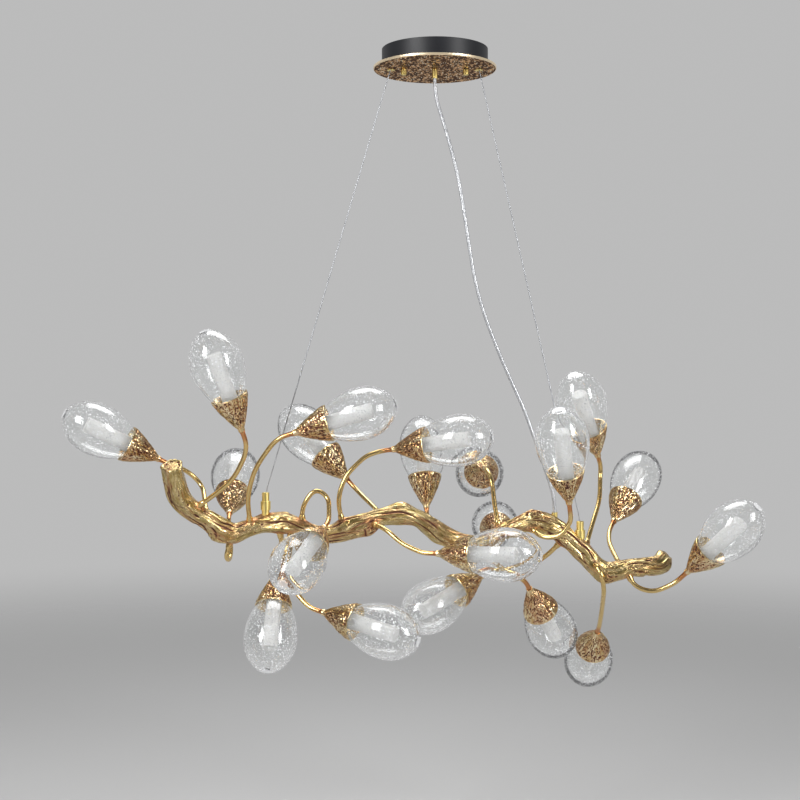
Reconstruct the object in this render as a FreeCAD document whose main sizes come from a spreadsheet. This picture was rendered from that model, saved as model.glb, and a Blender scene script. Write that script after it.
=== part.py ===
import FreeCAD, Part
import Sketcher
import math
import os
from FreeCAD import Placement, Rotation, Vector

# A cast branch with curved tube stems, bark-textured cups and clear glass globes, hung by two wires
# from a round canopy. Millimetres, +Z up, X along the branch, Y away from the viewer. The origin is
# the centre of the canopy on the ceiling.

# Driving sizes: alias, value in millimetres or how it follows from others, what it is
SIZES = (
    ("reach", 1200.0, "overall reach that every place on the branch is a share of"),
    ("setback", -10.0, "depth of the hanging branch from the canopy's centre plane, minus towards the viewer"),
    ("branch_radius", 16.0, "mean radius of the cast branch"),
    ("plate_diameter", 210.0, "gold canopy plate"),
    ("plate_thickness", 4.0, "gold canopy plate"),
    ("drum_diameter", 181.0, "black canopy drum"),
    ("drum_height", 30.0, "black canopy drum"),
    ("drum_wall", 1.5, "wall and floor of the drum"),
    ("hole_clearance", 0.3, "radial play of anything that passes through the drum and plate"),
    ("bar_length", 130.0, "mounting bar"),
    ("bar_width", 24.0, "mounting bar"),
    ("bar_thickness", 2.5, "mounting bar"),
    ("screw_spacing", 60.0, "ceiling screw holes in the bar"),
    ("screw_hole", 5.0, "diameter of a ceiling screw hole"),
    ("wire_inset", 15.5, "each wire's centre from the drum's edge"),
    ("stud_inset", 22.0, "each stud's centre from the wire beside it"),
    ("wire_spacing", "=drum_diameter - wire_inset * 2", "the two wires at the canopy"),
    ("stud_spacing", "=wire_spacing - stud_inset * 2", "two studs that hang from the bar"),
    ("stud_diameter", 5.0, "stud"),
    ("nut_diameter", 9.6, "knurled cap nut below the plate"),
    ("nut_height", 9.0, "knurled cap nut"),
    ("nut_floor", 3.0, "closed end of the cap nut"),
    ("thread_play", 0.1, "radial play between stud and nut"),
    ("wire_diameter", 1.8, "steel suspension wire"),
    ("ball_diameter", 5.0, "swaged ball on the wire's top end"),
    ("seat_play", 0.3, "play between the ball and its seat"),
    ("bush_diameter", 11.6, "brass wire bush"),
    ("bush_flange", 14.0, "flange of the wire bush below the plate"),
    ("flange_thickness", 1.0, "flange of the wire bush"),
    ("bush_stand", 3.0, "how far the bush stands above the drum's floor"),
    ("ball_rise", 4.0, "ball centre above the bush's lower face"),
    ("bush_neck", 3.8, "narrow throat below the ball"),
    ("bush_mouth", 5.2, "flared mouth at the bush's lower face"),
    ("gland_diameter", 9.2, "brass cord gland below the plate"),
    ("gland_length", 15.0, "cord gland below the plate"),
    ("gland_stub", 8.0, "diameter of the gland's threaded stub"),
    ("gland_stand", 2.5, "how far the stub stands above the drum's floor"),
    ("cord_diameter", 6.0, "clear power cord"),
    ("cord_play", 0.15, "radial play of the cord in its gland and bush"),
    ("cord_grip", 6.0, "length of cord held in the gland"),
    ("lead_bore", 4.4, "bore for the lead above the cord's end"),
    ("cord_bush_diameter", 10.0, "ferrule where the cord enters the branch"),
    ("cord_bush_rise", 28.5, "top of the ferrule above the branch's centre line"),
    ("cord_bush_grip", 3.5, "depth of cord held in the ferrule"),
    ("driver_length", 100.0, "lamp driver in the drum"),
    ("driver_width", 34.0, "lamp driver"),
    ("driver_height", 22.0, "lamp driver"),
    ("driver_clearance", 4.5, "driver's rear corners from the drum's wall"),
    ("driver_round", 3.0, "rounded upright edges of the driver"),
    ("terminal_length", 36.0, "terminal block"),
    ("terminal_width", 16.0, "terminal block"),
    ("terminal_height", 14.0, "terminal block"),
    ("terminal_offset", 34.0, "terminal block's centre in front of the canopy's centre"),
    ("terminal_hole", 5.0, "screw well in the terminal block"),
    ("terminal_pitch", 10.0, "spacing of the screw wells"),
    ("terminal_depth", 8.0, "depth of a screw well"),
    ("gripper_diameter", 17.0, "wire gripper body on the branch"),
    ("gripper_height", 15.0, "wire gripper body"),
    ("gripper_floor", 7.0, "solid lower end of the gripper body"),
    ("spigot_diameter", 13.0, "spigot that seats the gripper on the branch"),
    ("left_rise", 24.0, "left gripper's foot above the branch's centre line"),
    ("right_rise", 17.5, "right gripper's foot above the branch's centre line"),
    ("sleeve_diameter", 12.4, "release sleeve of the gripper"),
    ("sleeve_height", 20.0, "release sleeve of the gripper"),
    ("sleeve_sunk", 5.0, "length of the sleeve inside the gripper body"),
    ("sleeve_bore", 5.2, "bore of the sleeve"),
    ("sleeve_play", 0.35, "radial play of the sleeve in the gripper body"),
    ("wire_bore", 2.6, "bore of the gripper body's floor"),
    ("wire_foot", 3.5, "solid metal below the wire's end"),
    ("stem_diameter", 8.0, "curved tube stem"),
    ("stem_wall", 1.0, "curved tube stem"),
    ("stem_lead", 22.0, "straight lead of the stem into its cup"),
    ("stem_grip", 4.0, "length of the stem inside the cup's collar"),
    ("socket_diameter", 15.0, "cast socket round the stem's root"),
    ("socket_reach", 8.0, "how far the socket stands off the branch"),
    ("socket_lip", 1.2, "wall of the socket at its outer end"),
    ("cup_length", 62.0, "bark-textured cup, collar to rim"),
    ("cup_rim", 62.0, "outer diameter of the cup's rim"),
    ("cup_collar", 11.4, "outer diameter of the cup's collar"),
    ("collar_length", 5.0, "cylindrical collar at the cup's tip"),
    ("collar_play", 0.1, "radial play of the stem in the collar"),
    ("cup_wall", 2.2, "cup wall at the rim"),
    ("lamp_diameter", 24.0, "lamp base seated in the cup"),
    ("lamp_height", 8.0, "lamp base"),
    ("lamp_play", 0.3, "radial play of the lamp base in the cup"),
    ("post_diameter", 8.0, "lamp's inner board post"),
    ("tube_diameter", 26.0, "frosted tube over the lamp"),
    ("tube_length", 106.0, "frosted tube over the lamp"),
    ("tube_wall", 1.2, "frosted tube over the lamp"),
    ("glass_diameter", 90.0, "widest part of the glass globe"),
    ("glass_length", 136.0, "glass globe, neck to far end"),
    ("glass_wall", 3.0, "glass globe"),
    ("glass_end", 6.0, "thick far end of the glass globe"),
    ("glass_sunk", 18.0, "how far the globe's neck sits inside the cup"),
)

# Branch centre line: across, depth and height as shares of the reach, radius as a share of its mean
BRANCH_SHARES = (
    (-0.362, -0.065, -0.589, 1.05), (-0.360, -0.052, -0.611, 1.14), (-0.354, -0.038, -0.636, 1.14),
    (-0.336, -0.025, -0.656, 1.05), (-0.317, -0.015, -0.669, 1.08), (-0.301, -0.007, -0.682, 1.16),
    (-0.285, 0.000, -0.688, 1.00), (-0.266, 0.003, -0.682, 0.88), (-0.243, 0.005, -0.675, 0.94),
    (-0.217, 0.002, -0.674, 1.06), (-0.192, -0.003, -0.679, 0.95), (-0.169, -0.005, -0.687, 0.91),
    (-0.147, -0.005, -0.688, 0.98), (-0.124, -0.002, -0.681, 1.13), (-0.099, 0.000, -0.672, 1.02),
    (-0.074, 0.003, -0.664, 0.92), (-0.049, 0.005, -0.662, 1.07), (-0.025, 0.007, -0.667, 0.92),
    (-0.004, 0.007, -0.680, 1.01), (0.014, 0.006, -0.691, 1.01), (0.034, 0.007, -0.700, 0.96),
    (0.056, 0.008, -0.703, 0.90), (0.077, 0.007, -0.696, 0.81), (0.096, 0.003, -0.685, 0.77),
    (0.116, 0.000, -0.676, 0.85), (0.137, -0.002, -0.672, 1.02), (0.157, 0.000, -0.676, 1.15),
    (0.178, 0.002, -0.686, 1.08), (0.197, 0.003, -0.701, 1.02), (0.213, 0.003, -0.717, 1.04),
    (0.227, 0.003, -0.732, 1.00), (0.242, 0.002, -0.741, 1.02), (0.259, 0.000, -0.740, 1.00),
    (0.277, 0.001, -0.735, 0.86), (0.298, 0.004, -0.734, 0.94), (0.317, 0.012, -0.734, 1.05),
    (0.331, 0.024, -0.729, 1.03),
)
# Knots: station, angle from straight down, height as a share of the mean radius
KNOT_SHARES = (
    (0.3, 90.0, 0.18), (1.6, 250.0, 0.22), (5.0, 330.0, 0.30), (6.2, 200.0, 0.18), (9.2, 170.0, 0.20),
    (14.0, 325.0, 0.50), (13.0, 150.0, 0.15), (16.0, 180.0, 0.38), (18.6, 10.0, 0.20),
    (25.0, 190.0, 0.26), (25.8, 165.0, 0.24), (27.9, 180.0, -0.26), (28.6, 30.0, 0.15), (31.0, 5.0, 0.26),
    (33.6, 350.0, 0.20), (36.0, 185.0, 0.40),
)
KNOT_LENGTH = 0.55
KNOT_ANGLE = 34.0
RIDGES_SHARES = ((5, 0.58, 0.055), (3, -0.41, 0.045), (8, 0.90, 0.020))
BRANCH_SIDES = 16
BRANCH_STEPS = 2
# How far along the branch a seated piece is trimmed, and how much of a run its tangent arc takes
TRIM_STATIONS = 1.6
TANGENT_SHARE = 0.45
VOLUME_SHARE = 0.01

# Lights: seat station on the branch, the stem's bends and the cup's tip as shares of the reach, and
# the way that the cup and globe point
LIGHT_SHARES = (
    (3.8, ((-0.334, 0.035, -0.622), (-0.352, 0.033, -0.603), (-0.372, 0.012, -0.591)),
     (-0.390, -0.005, -0.582), (-0.83, -0.35, 0.44)),
    (2.8, ((-0.307, -0.043, -0.630), (-0.279, -0.057, -0.608), (-0.262, -0.065, -0.575)),
     (-0.265, -0.075, -0.541), (-0.31, -0.27, 0.91)),
    (5.9, ((-0.297, -0.002, -0.722), (-0.293, 0.020, -0.729), (-0.293, 0.035, -0.709)),
     (-0.298, 0.055, -0.664), (-0.01, 0.85, 0.53)),
    (7.2, ((-0.264, -0.022, -0.634), (-0.251, -0.040, -0.593), (-0.226, -0.052, -0.559)),
     (-0.196, -0.058, -0.544), (0.96, -0.10, 0.28)),
    (15.0, ((-0.084, 0.030, -0.655), (-0.103, 0.052, -0.639)),
     (-0.127, 0.071, -0.615), (-0.64, 0.33, 0.69)),
    (12.8, ((-0.138, -0.010, -0.639), (-0.127, -0.010, -0.605), (-0.098, -0.005, -0.577)),
     (-0.060, -0.010, -0.568), (0.94, -0.32, 0.14)),
    (17.4, ((-0.012, 0.067, -0.677), (-0.007, 0.125, -0.685)),
     (-0.009, 0.158, -0.664), (-0.05, 0.34, 0.94)),
    (22.8, ((0.085, 0.002, -0.651), (0.081, 0.003, -0.612), (0.074, 0.022, -0.596)),
     (0.072, 0.058, -0.600), (0.00, 1.00, -0.10)),
    (22.1, ((0.097, 0.047, -0.710), (0.101, 0.087, -0.705)),
     (0.098, 0.125, -0.699), (0.02, 1.00, 0.05)),
    (28.9, ((0.229, 0.037, -0.674), (0.243, 0.067, -0.645), (0.247, 0.090, -0.611)),
     (0.242, 0.079, -0.581), (-0.31, -0.51, 0.80)),
    (24.7, ((0.147, -0.028, -0.691), (0.174, -0.037, -0.689), (0.188, -0.042, -0.666)),
     (0.184, -0.052, -0.641), (-0.15, -0.45, 0.88)),
    (14.1, ((-0.071, -0.030, -0.677), (-0.047, -0.043, -0.698), (-0.022, -0.053, -0.708)),
     (0.001, -0.062, -0.709), (0.93, -0.36, 0.02)),
    (10.2, ((-0.188, -0.012, -0.648), (-0.169, -0.012, -0.622), (-0.150, -0.010, -0.635)),
     (-0.154, -0.052, -0.674), (-0.32, -0.85, -0.42)),
    (8.8, ((-0.217, 0.008, -0.706),),
     (-0.223, -0.013, -0.742), (-0.04, -0.55, -0.83)),
    (9.6, ((-0.209, -0.028, -0.718), (-0.205, -0.045, -0.750), (-0.182, -0.060, -0.776)),
     (-0.155, -0.073, -0.788), (0.88, -0.44, -0.20)),
    (27.4, ((0.161, 0.018, -0.721), (0.131, 0.042, -0.743), (0.096, 0.055, -0.752)),
     (0.069, 0.038, -0.752), (-0.75, -0.54, -0.37)),
    (21.4, ((0.083, -0.005, -0.725), (0.101, -0.010, -0.741)),
     (0.134, 0.008, -0.766), (0.375, 0.575, -0.68)),
    (29.7, ((0.232, -0.023, -0.738), (0.238, -0.013, -0.765), (0.242, 0.038, -0.802)),
     (0.243, 0.090, -0.8415), (-0.03, 0.81, -0.59)),
    (32.4, ((0.260, 0.032, -0.723), (0.255, 0.060, -0.706)),
     (0.267, 0.092, -0.679), (0.45, 0.64, 0.62)),
    (32.6, ((0.281, -0.007, -0.762), (0.308, -0.010, -0.770), (0.334, -0.017, -0.757)),
     (0.351, -0.029, -0.739), (0.54, -0.53, 0.66)),
)
LEFT_GRIPPER_STATION = 8.1
RIGHT_GRIPPER_STATION = 28.55
CORD_STATION = 26.6

# Power cord from the gland to the ferrule on the branch, chosen by hand
CORD_ROUTE = (
    (0, 0, -43), (0, 0, -76), (12, 0, -115), (26, -1, -162), (40, -1, -218), (49, -2, -272),
    (58, -2, -332), (68, -3, -394), (83, -4, -450), (105, -5, -508), (128, -6, -562), (153, -7, -616),
    (171, -8, -668), (186, -9, -712), (198, -8.7, -746), (203.6, -8.5, -771), (203.6, -8.5, -792.2),
)

# Cup outline between collar and rim, and glass outline from neck to far end: distance along the axis
# as a share of the length, radius as a share of the largest radius
CUP_SHARES = ((0.30, 0.42), (0.62, 0.74), (0.88, 0.945))
GLASS_SHARES = (
    (0.0, 0.385), (0.132, 0.625), (0.30, 0.865), (0.53, 1.0), (0.71, 0.925), (0.86, 0.68), (0.95, 0.40),
    (1.0, 0.0),
)

os.makedirs("parts", exist_ok=True)
doc = FreeCAD.newDocument("BranchChandelier")
sheet = doc.addObject("Spreadsheet::Sheet", "Sizes")
for row, (alias, value, note) in enumerate(SIZES, start=1):
    sheet.set(f"A{row}", note)
    sheet.set(f"B{row}", str(value))
    sheet.setAlias(f"B{row}", alias)
doc.recompute()
ALIASES = tuple(alias for alias, value, note in SIZES)
size = {alias: float(getattr(sheet, alias)) for alias in ALIASES}


def bound(expression):
    """The expression with each alias read from the sheet."""
    words = []
    word = ""
    for letter in expression + " ":
        if letter.isalnum() or letter == "_":
            word += letter
            continue
        words.append(f"Sizes.{word}" if word in size else word)
        words.append(letter)
        word = ""
    return "".join(words).strip()


def origin_feature(body, role):
    """The body's own origin plane or axis with this role."""
    for feature in body.Origin.OriginFeatures:
        if feature.Role == role:
            return feature
    raise ValueError(role)


def new_body(label):
    """An empty body whose label names its file."""
    body = doc.addObject("PartDesign::Body", label)
    body.Label = label
    return body


def new_sketch(body, role):
    """A sketch on one of the body's own origin planes."""
    sketch = body.newObject("Sketcher::SketchObject", f"{body.Label}_sketch_{role[:2]}")
    sketch.AttachmentSupport = (origin_feature(body, role), [""])
    sketch.MapMode = "FlatFace"
    return sketch


def place_point(sketch, index, end, across, up):
    """Tie one end of a line to two expressions, or to an axis where the expression is zero."""
    if across == "0":
        sketch.addConstraint(Sketcher.Constraint("PointOnObject", index, end, -2))
    else:
        number = sketch.addConstraint(Sketcher.Constraint("DistanceX", -1, 1, index, end, 1.0))
        sketch.setExpression(f"Constraints[{number}]", bound(across))
    if up == "0":
        sketch.addConstraint(Sketcher.Constraint("PointOnObject", index, end, -1))
    else:
        number = sketch.addConstraint(Sketcher.Constraint("DistanceY", -1, 1, index, end, 1.0))
        sketch.setExpression(f"Constraints[{number}]", bound(up))


def turned(body, rows):
    """Revolve a closed outline of (radius, height) expressions about the body's own Z axis."""
    sketch = new_sketch(body, "XZ_Plane")
    last = len(rows) - 1
    for index in range(len(rows)):
        start = Vector(index + 1, index, 0)
        end = Vector(1, 0, 0) if index == last else Vector(index + 2, index + 1, 0)
        sketch.addGeometry(Part.LineSegment(start, end), False)
    for index in range(len(rows)):
        after = 0 if index == last else index + 1
        sketch.addConstraint(Sketcher.Constraint("Coincident", index, 2, after, 1))
    for index, (across, up) in enumerate(rows):
        place_point(sketch, index, 1, across, up)
    revolution = body.newObject("PartDesign::Revolution", f"{body.Label}_turned")
    revolution.Profile = sketch
    revolution.ReferenceAxis = (sketch, ["V_Axis"])
    revolution.Angle = 360.0
    return revolution


def drilled(body, centres, diameter, length, reverse):
    """Cut round holes at (x, y) expressions through or into the body along its Z axis."""
    sketch = new_sketch(body, "XY_Plane")
    sketch.Label = f"{body.Label}_holes_{len(body.Group)}"
    for index, (across, along) in enumerate(centres):
        sketch.addGeometry(Part.Circle(Vector(index + 1, index, 0), Vector(0, 0, 1), 1.0), False)
        if across == "0":
            sketch.addConstraint(Sketcher.Constraint("PointOnObject", index, 3, -2))
        else:
            number = sketch.addConstraint(Sketcher.Constraint("DistanceX", -1, 1, index, 3, 1.0))
            sketch.setExpression(f"Constraints[{number}]", bound(across))
        if along == "0":
            sketch.addConstraint(Sketcher.Constraint("PointOnObject", index, 3, -1))
        number = sketch.addConstraint(Sketcher.Constraint("Diameter", index, 2.0))
        sketch.setExpression(f"Constraints[{number}]", bound(diameter))
    pocket = body.newObject("PartDesign::Pocket", f"{body.Label}_drilled_{len(body.Group)}")
    pocket.Profile = sketch
    pocket.setExpression("Length", bound(length))
    pocket.Reversed = reverse
    return pocket


def block(body, length, width, height):
    """Pad a centred rectangle upwards from the body's XY plane."""
    sketch = new_sketch(body, "XY_Plane")
    corners = (Vector(-1, -1, 0), Vector(1, -1, 0), Vector(1, 1, 0), Vector(-1, 1, 0))
    for index in range(4):
        sketch.addGeometry(Part.LineSegment(corners[index], corners[(index + 1) % 4]), False)
    for index in range(4):
        sketch.addConstraint(Sketcher.Constraint("Coincident", index, 2, (index + 1) % 4, 1))
    for index in (0, 2):
        sketch.addConstraint(Sketcher.Constraint("Horizontal", index))
        sketch.addConstraint(Sketcher.Constraint("Vertical", index + 1))
    sketch.addConstraint(Sketcher.Constraint("Symmetric", 0, 1, 2, 1, -1, 1))
    across = sketch.addConstraint(Sketcher.Constraint("DistanceX", 0, 1, 0, 2, 2.0))
    along = sketch.addConstraint(Sketcher.Constraint("DistanceY", 1, 1, 1, 2, 2.0))
    sketch.setExpression(f"Constraints[{across}]", bound(length))
    sketch.setExpression(f"Constraints[{along}]", bound(width))
    pad = body.newObject("PartDesign::Pad", f"{body.Label}_pad")
    pad.Profile = sketch
    pad.setExpression("Length", bound(height))
    return pad


def feature(label, shape, placement=Placement()):
    """A sub-part whose shape is worked out in code from the sheet."""
    item = doc.addObject("Part::Feature", label)
    item.Label = label
    item.Shape = shape
    item.Placement = placement
    return item


# Branch geometry
def station_point(index):
    """Centre of a listed station and its radius."""
    across, depth, height, radius = BRANCH_SHARES[max(0, min(len(BRANCH_SHARES) - 1, index))]
    centre = Vector(across * size["reach"], depth * size["reach"] + size["setback"], height * size["reach"])
    return centre, radius * size["branch_radius"]


def along_branch(station):
    """Centre and radius at any station, on a smooth curve through the listed ones."""
    index = min(int(station), len(BRANCH_SHARES) - 2)
    part = station - index
    before, here, after, beyond = (station_point(index + step) for step in (-1, 0, 1, 2))
    weights = (
        -0.5 * part + part ** 2 - 0.5 * part ** 3,
        1 - 2.5 * part ** 2 + 1.5 * part ** 3,
        0.5 * part + 2 * part ** 2 - 1.5 * part ** 3,
        -0.5 * part ** 2 + 0.5 * part ** 3,
    )
    centre = Vector()
    radius = 0.0
    for weight, (place, width) in zip(weights, (before, here, after, beyond)):
        centre = centre + place * weight
        radius += width * weight
    return centre, radius


def bark_radius(station, angle, radius):
    """Radius of the bark at an angle in degrees from straight down, with ridges and knots."""
    share = 1.0
    for count, drift, height in RIDGES_SHARES:
        share += height * math.cos(math.radians(angle) * count + drift * station)
    grown = radius * share
    for knot_station, knot_angle, height in KNOT_SHARES:
        turn = (angle - knot_angle + 180.0) % 360.0 - 180.0
        fall = math.exp(-((station - knot_station) / KNOT_LENGTH) ** 2 - (turn / KNOT_ANGLE) ** 2)
        grown += size["branch_radius"] * height * fall
    return grown


def branch_section(step):
    """Closed polygon of the bark at one step along the branch, square to its centre line."""
    last = (len(BRANCH_SHARES) - 1) * BRANCH_STEPS
    station = step / BRANCH_STEPS
    centre, radius = along_branch(station)
    back = along_branch(max(0, step - 2) / BRANCH_STEPS)[0]
    ahead = along_branch(min(last, step + 2) / BRANCH_STEPS)[0]
    run = (ahead - back).normalize()
    down = Vector(0, 1, 0).cross(run).normalize()
    rear = run.cross(down)
    corners = []
    for side in range(BRANCH_SIDES):
        angle = 360.0 * side / BRANCH_SIDES
        reach = bark_radius(station, angle, radius)
        turn = math.radians(angle)
        corners.append(centre + down * (reach * math.cos(turn)) + rear * (reach * math.sin(turn)))
    return Part.makePolygon(corners + corners[:1])


LAST_STEP = (len(BRANCH_SHARES) - 1) * BRANCH_STEPS
branch_sections = [branch_section(step) for step in range(LAST_STEP + 1)]


def branch_stretch(station):
    """The stretch of the branch round a station, which trims whatever is seated there."""
    first = max(0, math.floor((station - TRIM_STATIONS) * BRANCH_STEPS))
    last = min(LAST_STEP, math.ceil((station + TRIM_STATIONS) * BRANCH_STEPS))
    return Part.makeLoft(branch_sections[first:last + 1], True, True)


def bent_wire(points):
    """Straight runs joined by tangent arcs as large as their runs allow, and the arcs' radii."""
    edges = []
    radii = []
    start = points[0]
    for before, corner, after in zip(points, points[1:], points[2:]):
        leg = corner - before
        next_leg = after - corner
        shorter = min(leg.Length, next_leg.Length)
        one = Vector(leg).normalize()
        two = Vector(next_leg).normalize()
        turn = one.getAngle(two)
        cut = TANGENT_SHARE * shorter
        radius = cut / math.tan(turn / 2)
        arc_start = corner - one * cut
        arc_end = corner + two * cut
        inward = (two - one).normalize()
        middle = corner + inward * (radius / math.cos(turn / 2) - radius)
        edges.append(Part.LineSegment(start, arc_start).toShape())
        edges.append(Part.Arc(arc_start, middle, arc_end).toShape())
        radii.append(radius)
        start = arc_end
    edges.append(Part.LineSegment(start, points[-1]).toShape())
    return Part.Wire(edges), radii


def pipe(wire, start, toward, radius):
    """A round bar along a wire."""
    profile = Part.Wire([Part.makeCircle(radius, start, toward - start)])
    return wire.makePipeShell([profile], True, False)


def checked_pipe(label, points, radius):
    """A round bar whose volume is compared with its section times its length."""
    wire, radii = bent_wire(points)
    bar = pipe(wire, points[0], points[1], radius)
    expected = math.pi * radius ** 2 * wire.Length
    if abs(bar.Volume - expected) > VOLUME_SHARE * expected:
        raise ValueError(f"{label}: volume {bar.Volume:.0f}, expected {expected:.0f}")
    print(f"{label}: length {wire.Length:.0f}, radii {[round(value) for value in radii]}")
    return bar


def ordered(shares):
    """A point from its shares of the reach."""
    return Vector(shares[0] * size["reach"], shares[1] * size["reach"] + size["setback"], shares[2] * size["reach"])


def light_frame(light):
    """Placement of a light head: its tip at the origin, +Z towards the far end of its globe."""
    station, bends, tip, axis = light
    return Placement(ordered(tip), Rotation(Vector(0, 0, 1), Vector(*axis)))


# Canopy
PLATE_BOTTOM = "drum_height + plate_thickness"
HOLES = (
    ("wire_spacing / 2", "bush_diameter + hole_clearance * 2"),
    ("-wire_spacing / 2", "bush_diameter + hole_clearance * 2"),
    ("stud_spacing / 2", "stud_diameter + hole_clearance * 2"),
    ("-stud_spacing / 2", "stud_diameter + hole_clearance * 2"),
    ("0", "gland_stub + hole_clearance * 2"),
)


def make_canopy():
    """Drum, plate, mounting bar with its studs and nuts, bushes, gland, driver and terminal block."""
    drum = new_body("canopy_drum")
    turned(drum, (
        ("0", "0"),
        ("drum_diameter / 2", "0"),
        ("drum_diameter / 2", "drum_height"),
        ("drum_diameter / 2 - drum_wall", "drum_height"),
        ("drum_diameter / 2 - drum_wall", "drum_wall"),
        ("0", "drum_wall"),
    ))
    for across, diameter in HOLES:
        drilled(drum, ((across, "0"),), diameter, "drum_height", True)
    drum.setExpression("Placement.Base.z", bound("-drum_height"))

    plate = new_body("canopy_plate")
    turned(plate, (
        ("0", "0"),
        ("plate_diameter / 2 - plate_thickness / 4", "0"),
        ("plate_diameter / 2", "plate_thickness / 4"),
        ("plate_diameter / 2", "plate_thickness"),
        ("0", "plate_thickness"),
    ))
    for across, diameter in HOLES:
        drilled(plate, ((across, "0"),), diameter, "drum_height", True)
    plate.setExpression("Placement.Base.z", bound(f"-({PLATE_BOTTOM})"))

    bar = new_body("mounting_bar")
    block(bar, "bar_length", "bar_width", "bar_thickness")
    for across in ("screw_spacing / 2", "-screw_spacing / 2"):
        drilled(bar, ((across, "0"),), "screw_hole", "drum_height", True)
    bar.setExpression("Placement.Base.z", bound("-bar_thickness"))

    driver = new_body("led_driver")
    pad = block(driver, "driver_length", "driver_width", "driver_height")
    doc.recompute()
    upright = [
        f"Edge{number}" for number, edge in enumerate(pad.Shape.Edges, start=1)
        if abs(edge.tangentAt(edge.FirstParameter).z) > 0.99
    ]
    rounded = driver.newObject("PartDesign::Fillet", "led_driver_rounded")
    rounded.Base = (pad, upright)
    rounded.setExpression("Radius", bound("driver_round"))
    driver.setExpression("Placement.Base.y", bound(
        "sqrt((drum_diameter / 2 - drum_wall - driver_clearance) ^ 2 - (driver_length / 2) ^ 2)"
        " - driver_width / 2"))
    driver.setExpression("Placement.Base.z", bound("drum_wall - drum_height"))

    terminal = new_body("terminal_block")
    block(terminal, "terminal_length", "terminal_width", "terminal_height")
    for across in ("terminal_pitch", "0", "-terminal_pitch"):
        drilled(terminal, ((across, "0"),), "terminal_hole", "terminal_depth", True)
    terminal.setExpression("Placement.Base.y", bound("-terminal_offset"))
    terminal.setExpression("Placement.Base.z", bound("drum_wall - drum_height"))

    gland = new_body("cord_gland")
    turned(gland, (
        ("cord_diameter / 2 + cord_play", "0"),
        ("gland_diameter / 2", "0"),
        ("gland_diameter / 2", "gland_length"),
        ("gland_stub / 2", "gland_length"),
        ("gland_stub / 2", "gland_length + plate_thickness + drum_wall + gland_stand"),
        ("lead_bore / 2", "gland_length + plate_thickness + drum_wall + gland_stand"),
        ("lead_bore / 2", "cord_grip"),
        ("cord_diameter / 2 + cord_play", "cord_grip"),
    ))
    gland.setExpression("Placement.Base.z", bound(f"-({PLATE_BOTTOM} + gland_length)"))


def make_studs_and_nuts():
    """Two studs below the bar, and the knurled cap nuts that hold the plate and drum up."""
    below = -(size["drum_height"] + size["plate_thickness"])
    stud_end = below - (size["nut_height"] - size["nut_floor"])
    studs = []
    nuts = []
    for side in (-1, 1):
        across = side * size["stud_spacing"] / 2
        stud = Part.makeCylinder(
            size["stud_diameter"] / 2, -size["bar_thickness"] - stud_end, Vector(across, 0, stud_end))
        bore = Part.makeCylinder(
            size["stud_diameter"] / 2 + size["thread_play"], size["nut_height"] - size["nut_floor"],
            Vector(across, 0, stud_end))
        nut = Part.makeCylinder(
            size["nut_diameter"] / 2, size["nut_height"], Vector(across, 0, below - size["nut_height"]))
        edge = size["nut_floor"] / 4
        nut = nut.makeChamfer(edge, [item for item in nut.Edges if item.BoundBox.ZMax < below - edge])
        studs.append(stud)
        nuts.append(nut.cut(bore))
    feature("bar_studs", Part.makeCompound(studs))
    feature("stud_nuts", Part.makeCompound(nuts))


def make_wire_bushes():
    """Flanged bushes with a conical seat for the wire's ball and a flared mouth below it."""
    top = size["flange_thickness"] + size["plate_thickness"] + size["drum_wall"] + size["bush_stand"]
    chamber = (size["ball_diameter"] / 2 + size["seat_play"]) * math.sqrt(2)
    neck = size["bush_neck"] / 2
    rows = (
        (size["bush_mouth"] / 2, 0),
        (size["bush_flange"] / 2, 0),
        (size["bush_flange"] / 2, size["flange_thickness"]),
        (size["bush_diameter"] / 2, size["flange_thickness"]),
        (size["bush_diameter"] / 2, top),
        (chamber, top),
        (chamber, size["ball_rise"]),
        (neck, size["ball_rise"] - (chamber - neck)),
    )
    corners = [Vector(radius, 0, height) for radius, height in rows]
    outline = Part.Face(Part.makePolygon(corners + corners[:1]))
    bush = outline.revolve(Vector(), Vector(0, 0, 1), 360)
    foot = -(size["drum_height"] + size["plate_thickness"] + size["flange_thickness"])
    bushes = []
    for side in (-1, 1):
        copy = bush.copy()
        copy.translate(Vector(side * size["wire_spacing"] / 2, 0, foot))
        bushes.append(copy)
    feature("wire_bushes", Part.makeCompound(bushes))


def ball_height():
    """Height of the wires' balls, on the axis that the branch swings about."""
    foot = -(size["drum_height"] + size["plate_thickness"] + size["flange_thickness"])
    return foot + size["ball_rise"]


# Branch and what is seated on it
def make_branch():
    """The casting: a ruled loft through the bark sections."""
    sections = []
    for step, wire in enumerate(branch_sections):
        section = doc.addObject("Part::Feature", f"bark_section_{step:02d}")
        section.Shape = wire
        sections.append(section)
    branch = doc.addObject("Part::Loft", "branch")
    branch.Label = "branch"
    branch.Sections = sections
    branch.Solid = True
    branch.Ruled = True


def gripper_foot(station, rise):
    """Foot of a gripper, straight above the branch's centre line."""
    return along_branch(station)[0] + Vector(0, 0, rise)


GRIPPERS = (
    ("left", -1, LEFT_GRIPPER_STATION, "left_rise"),
    ("right", 1, RIGHT_GRIPPER_STATION, "right_rise"),
)


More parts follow.
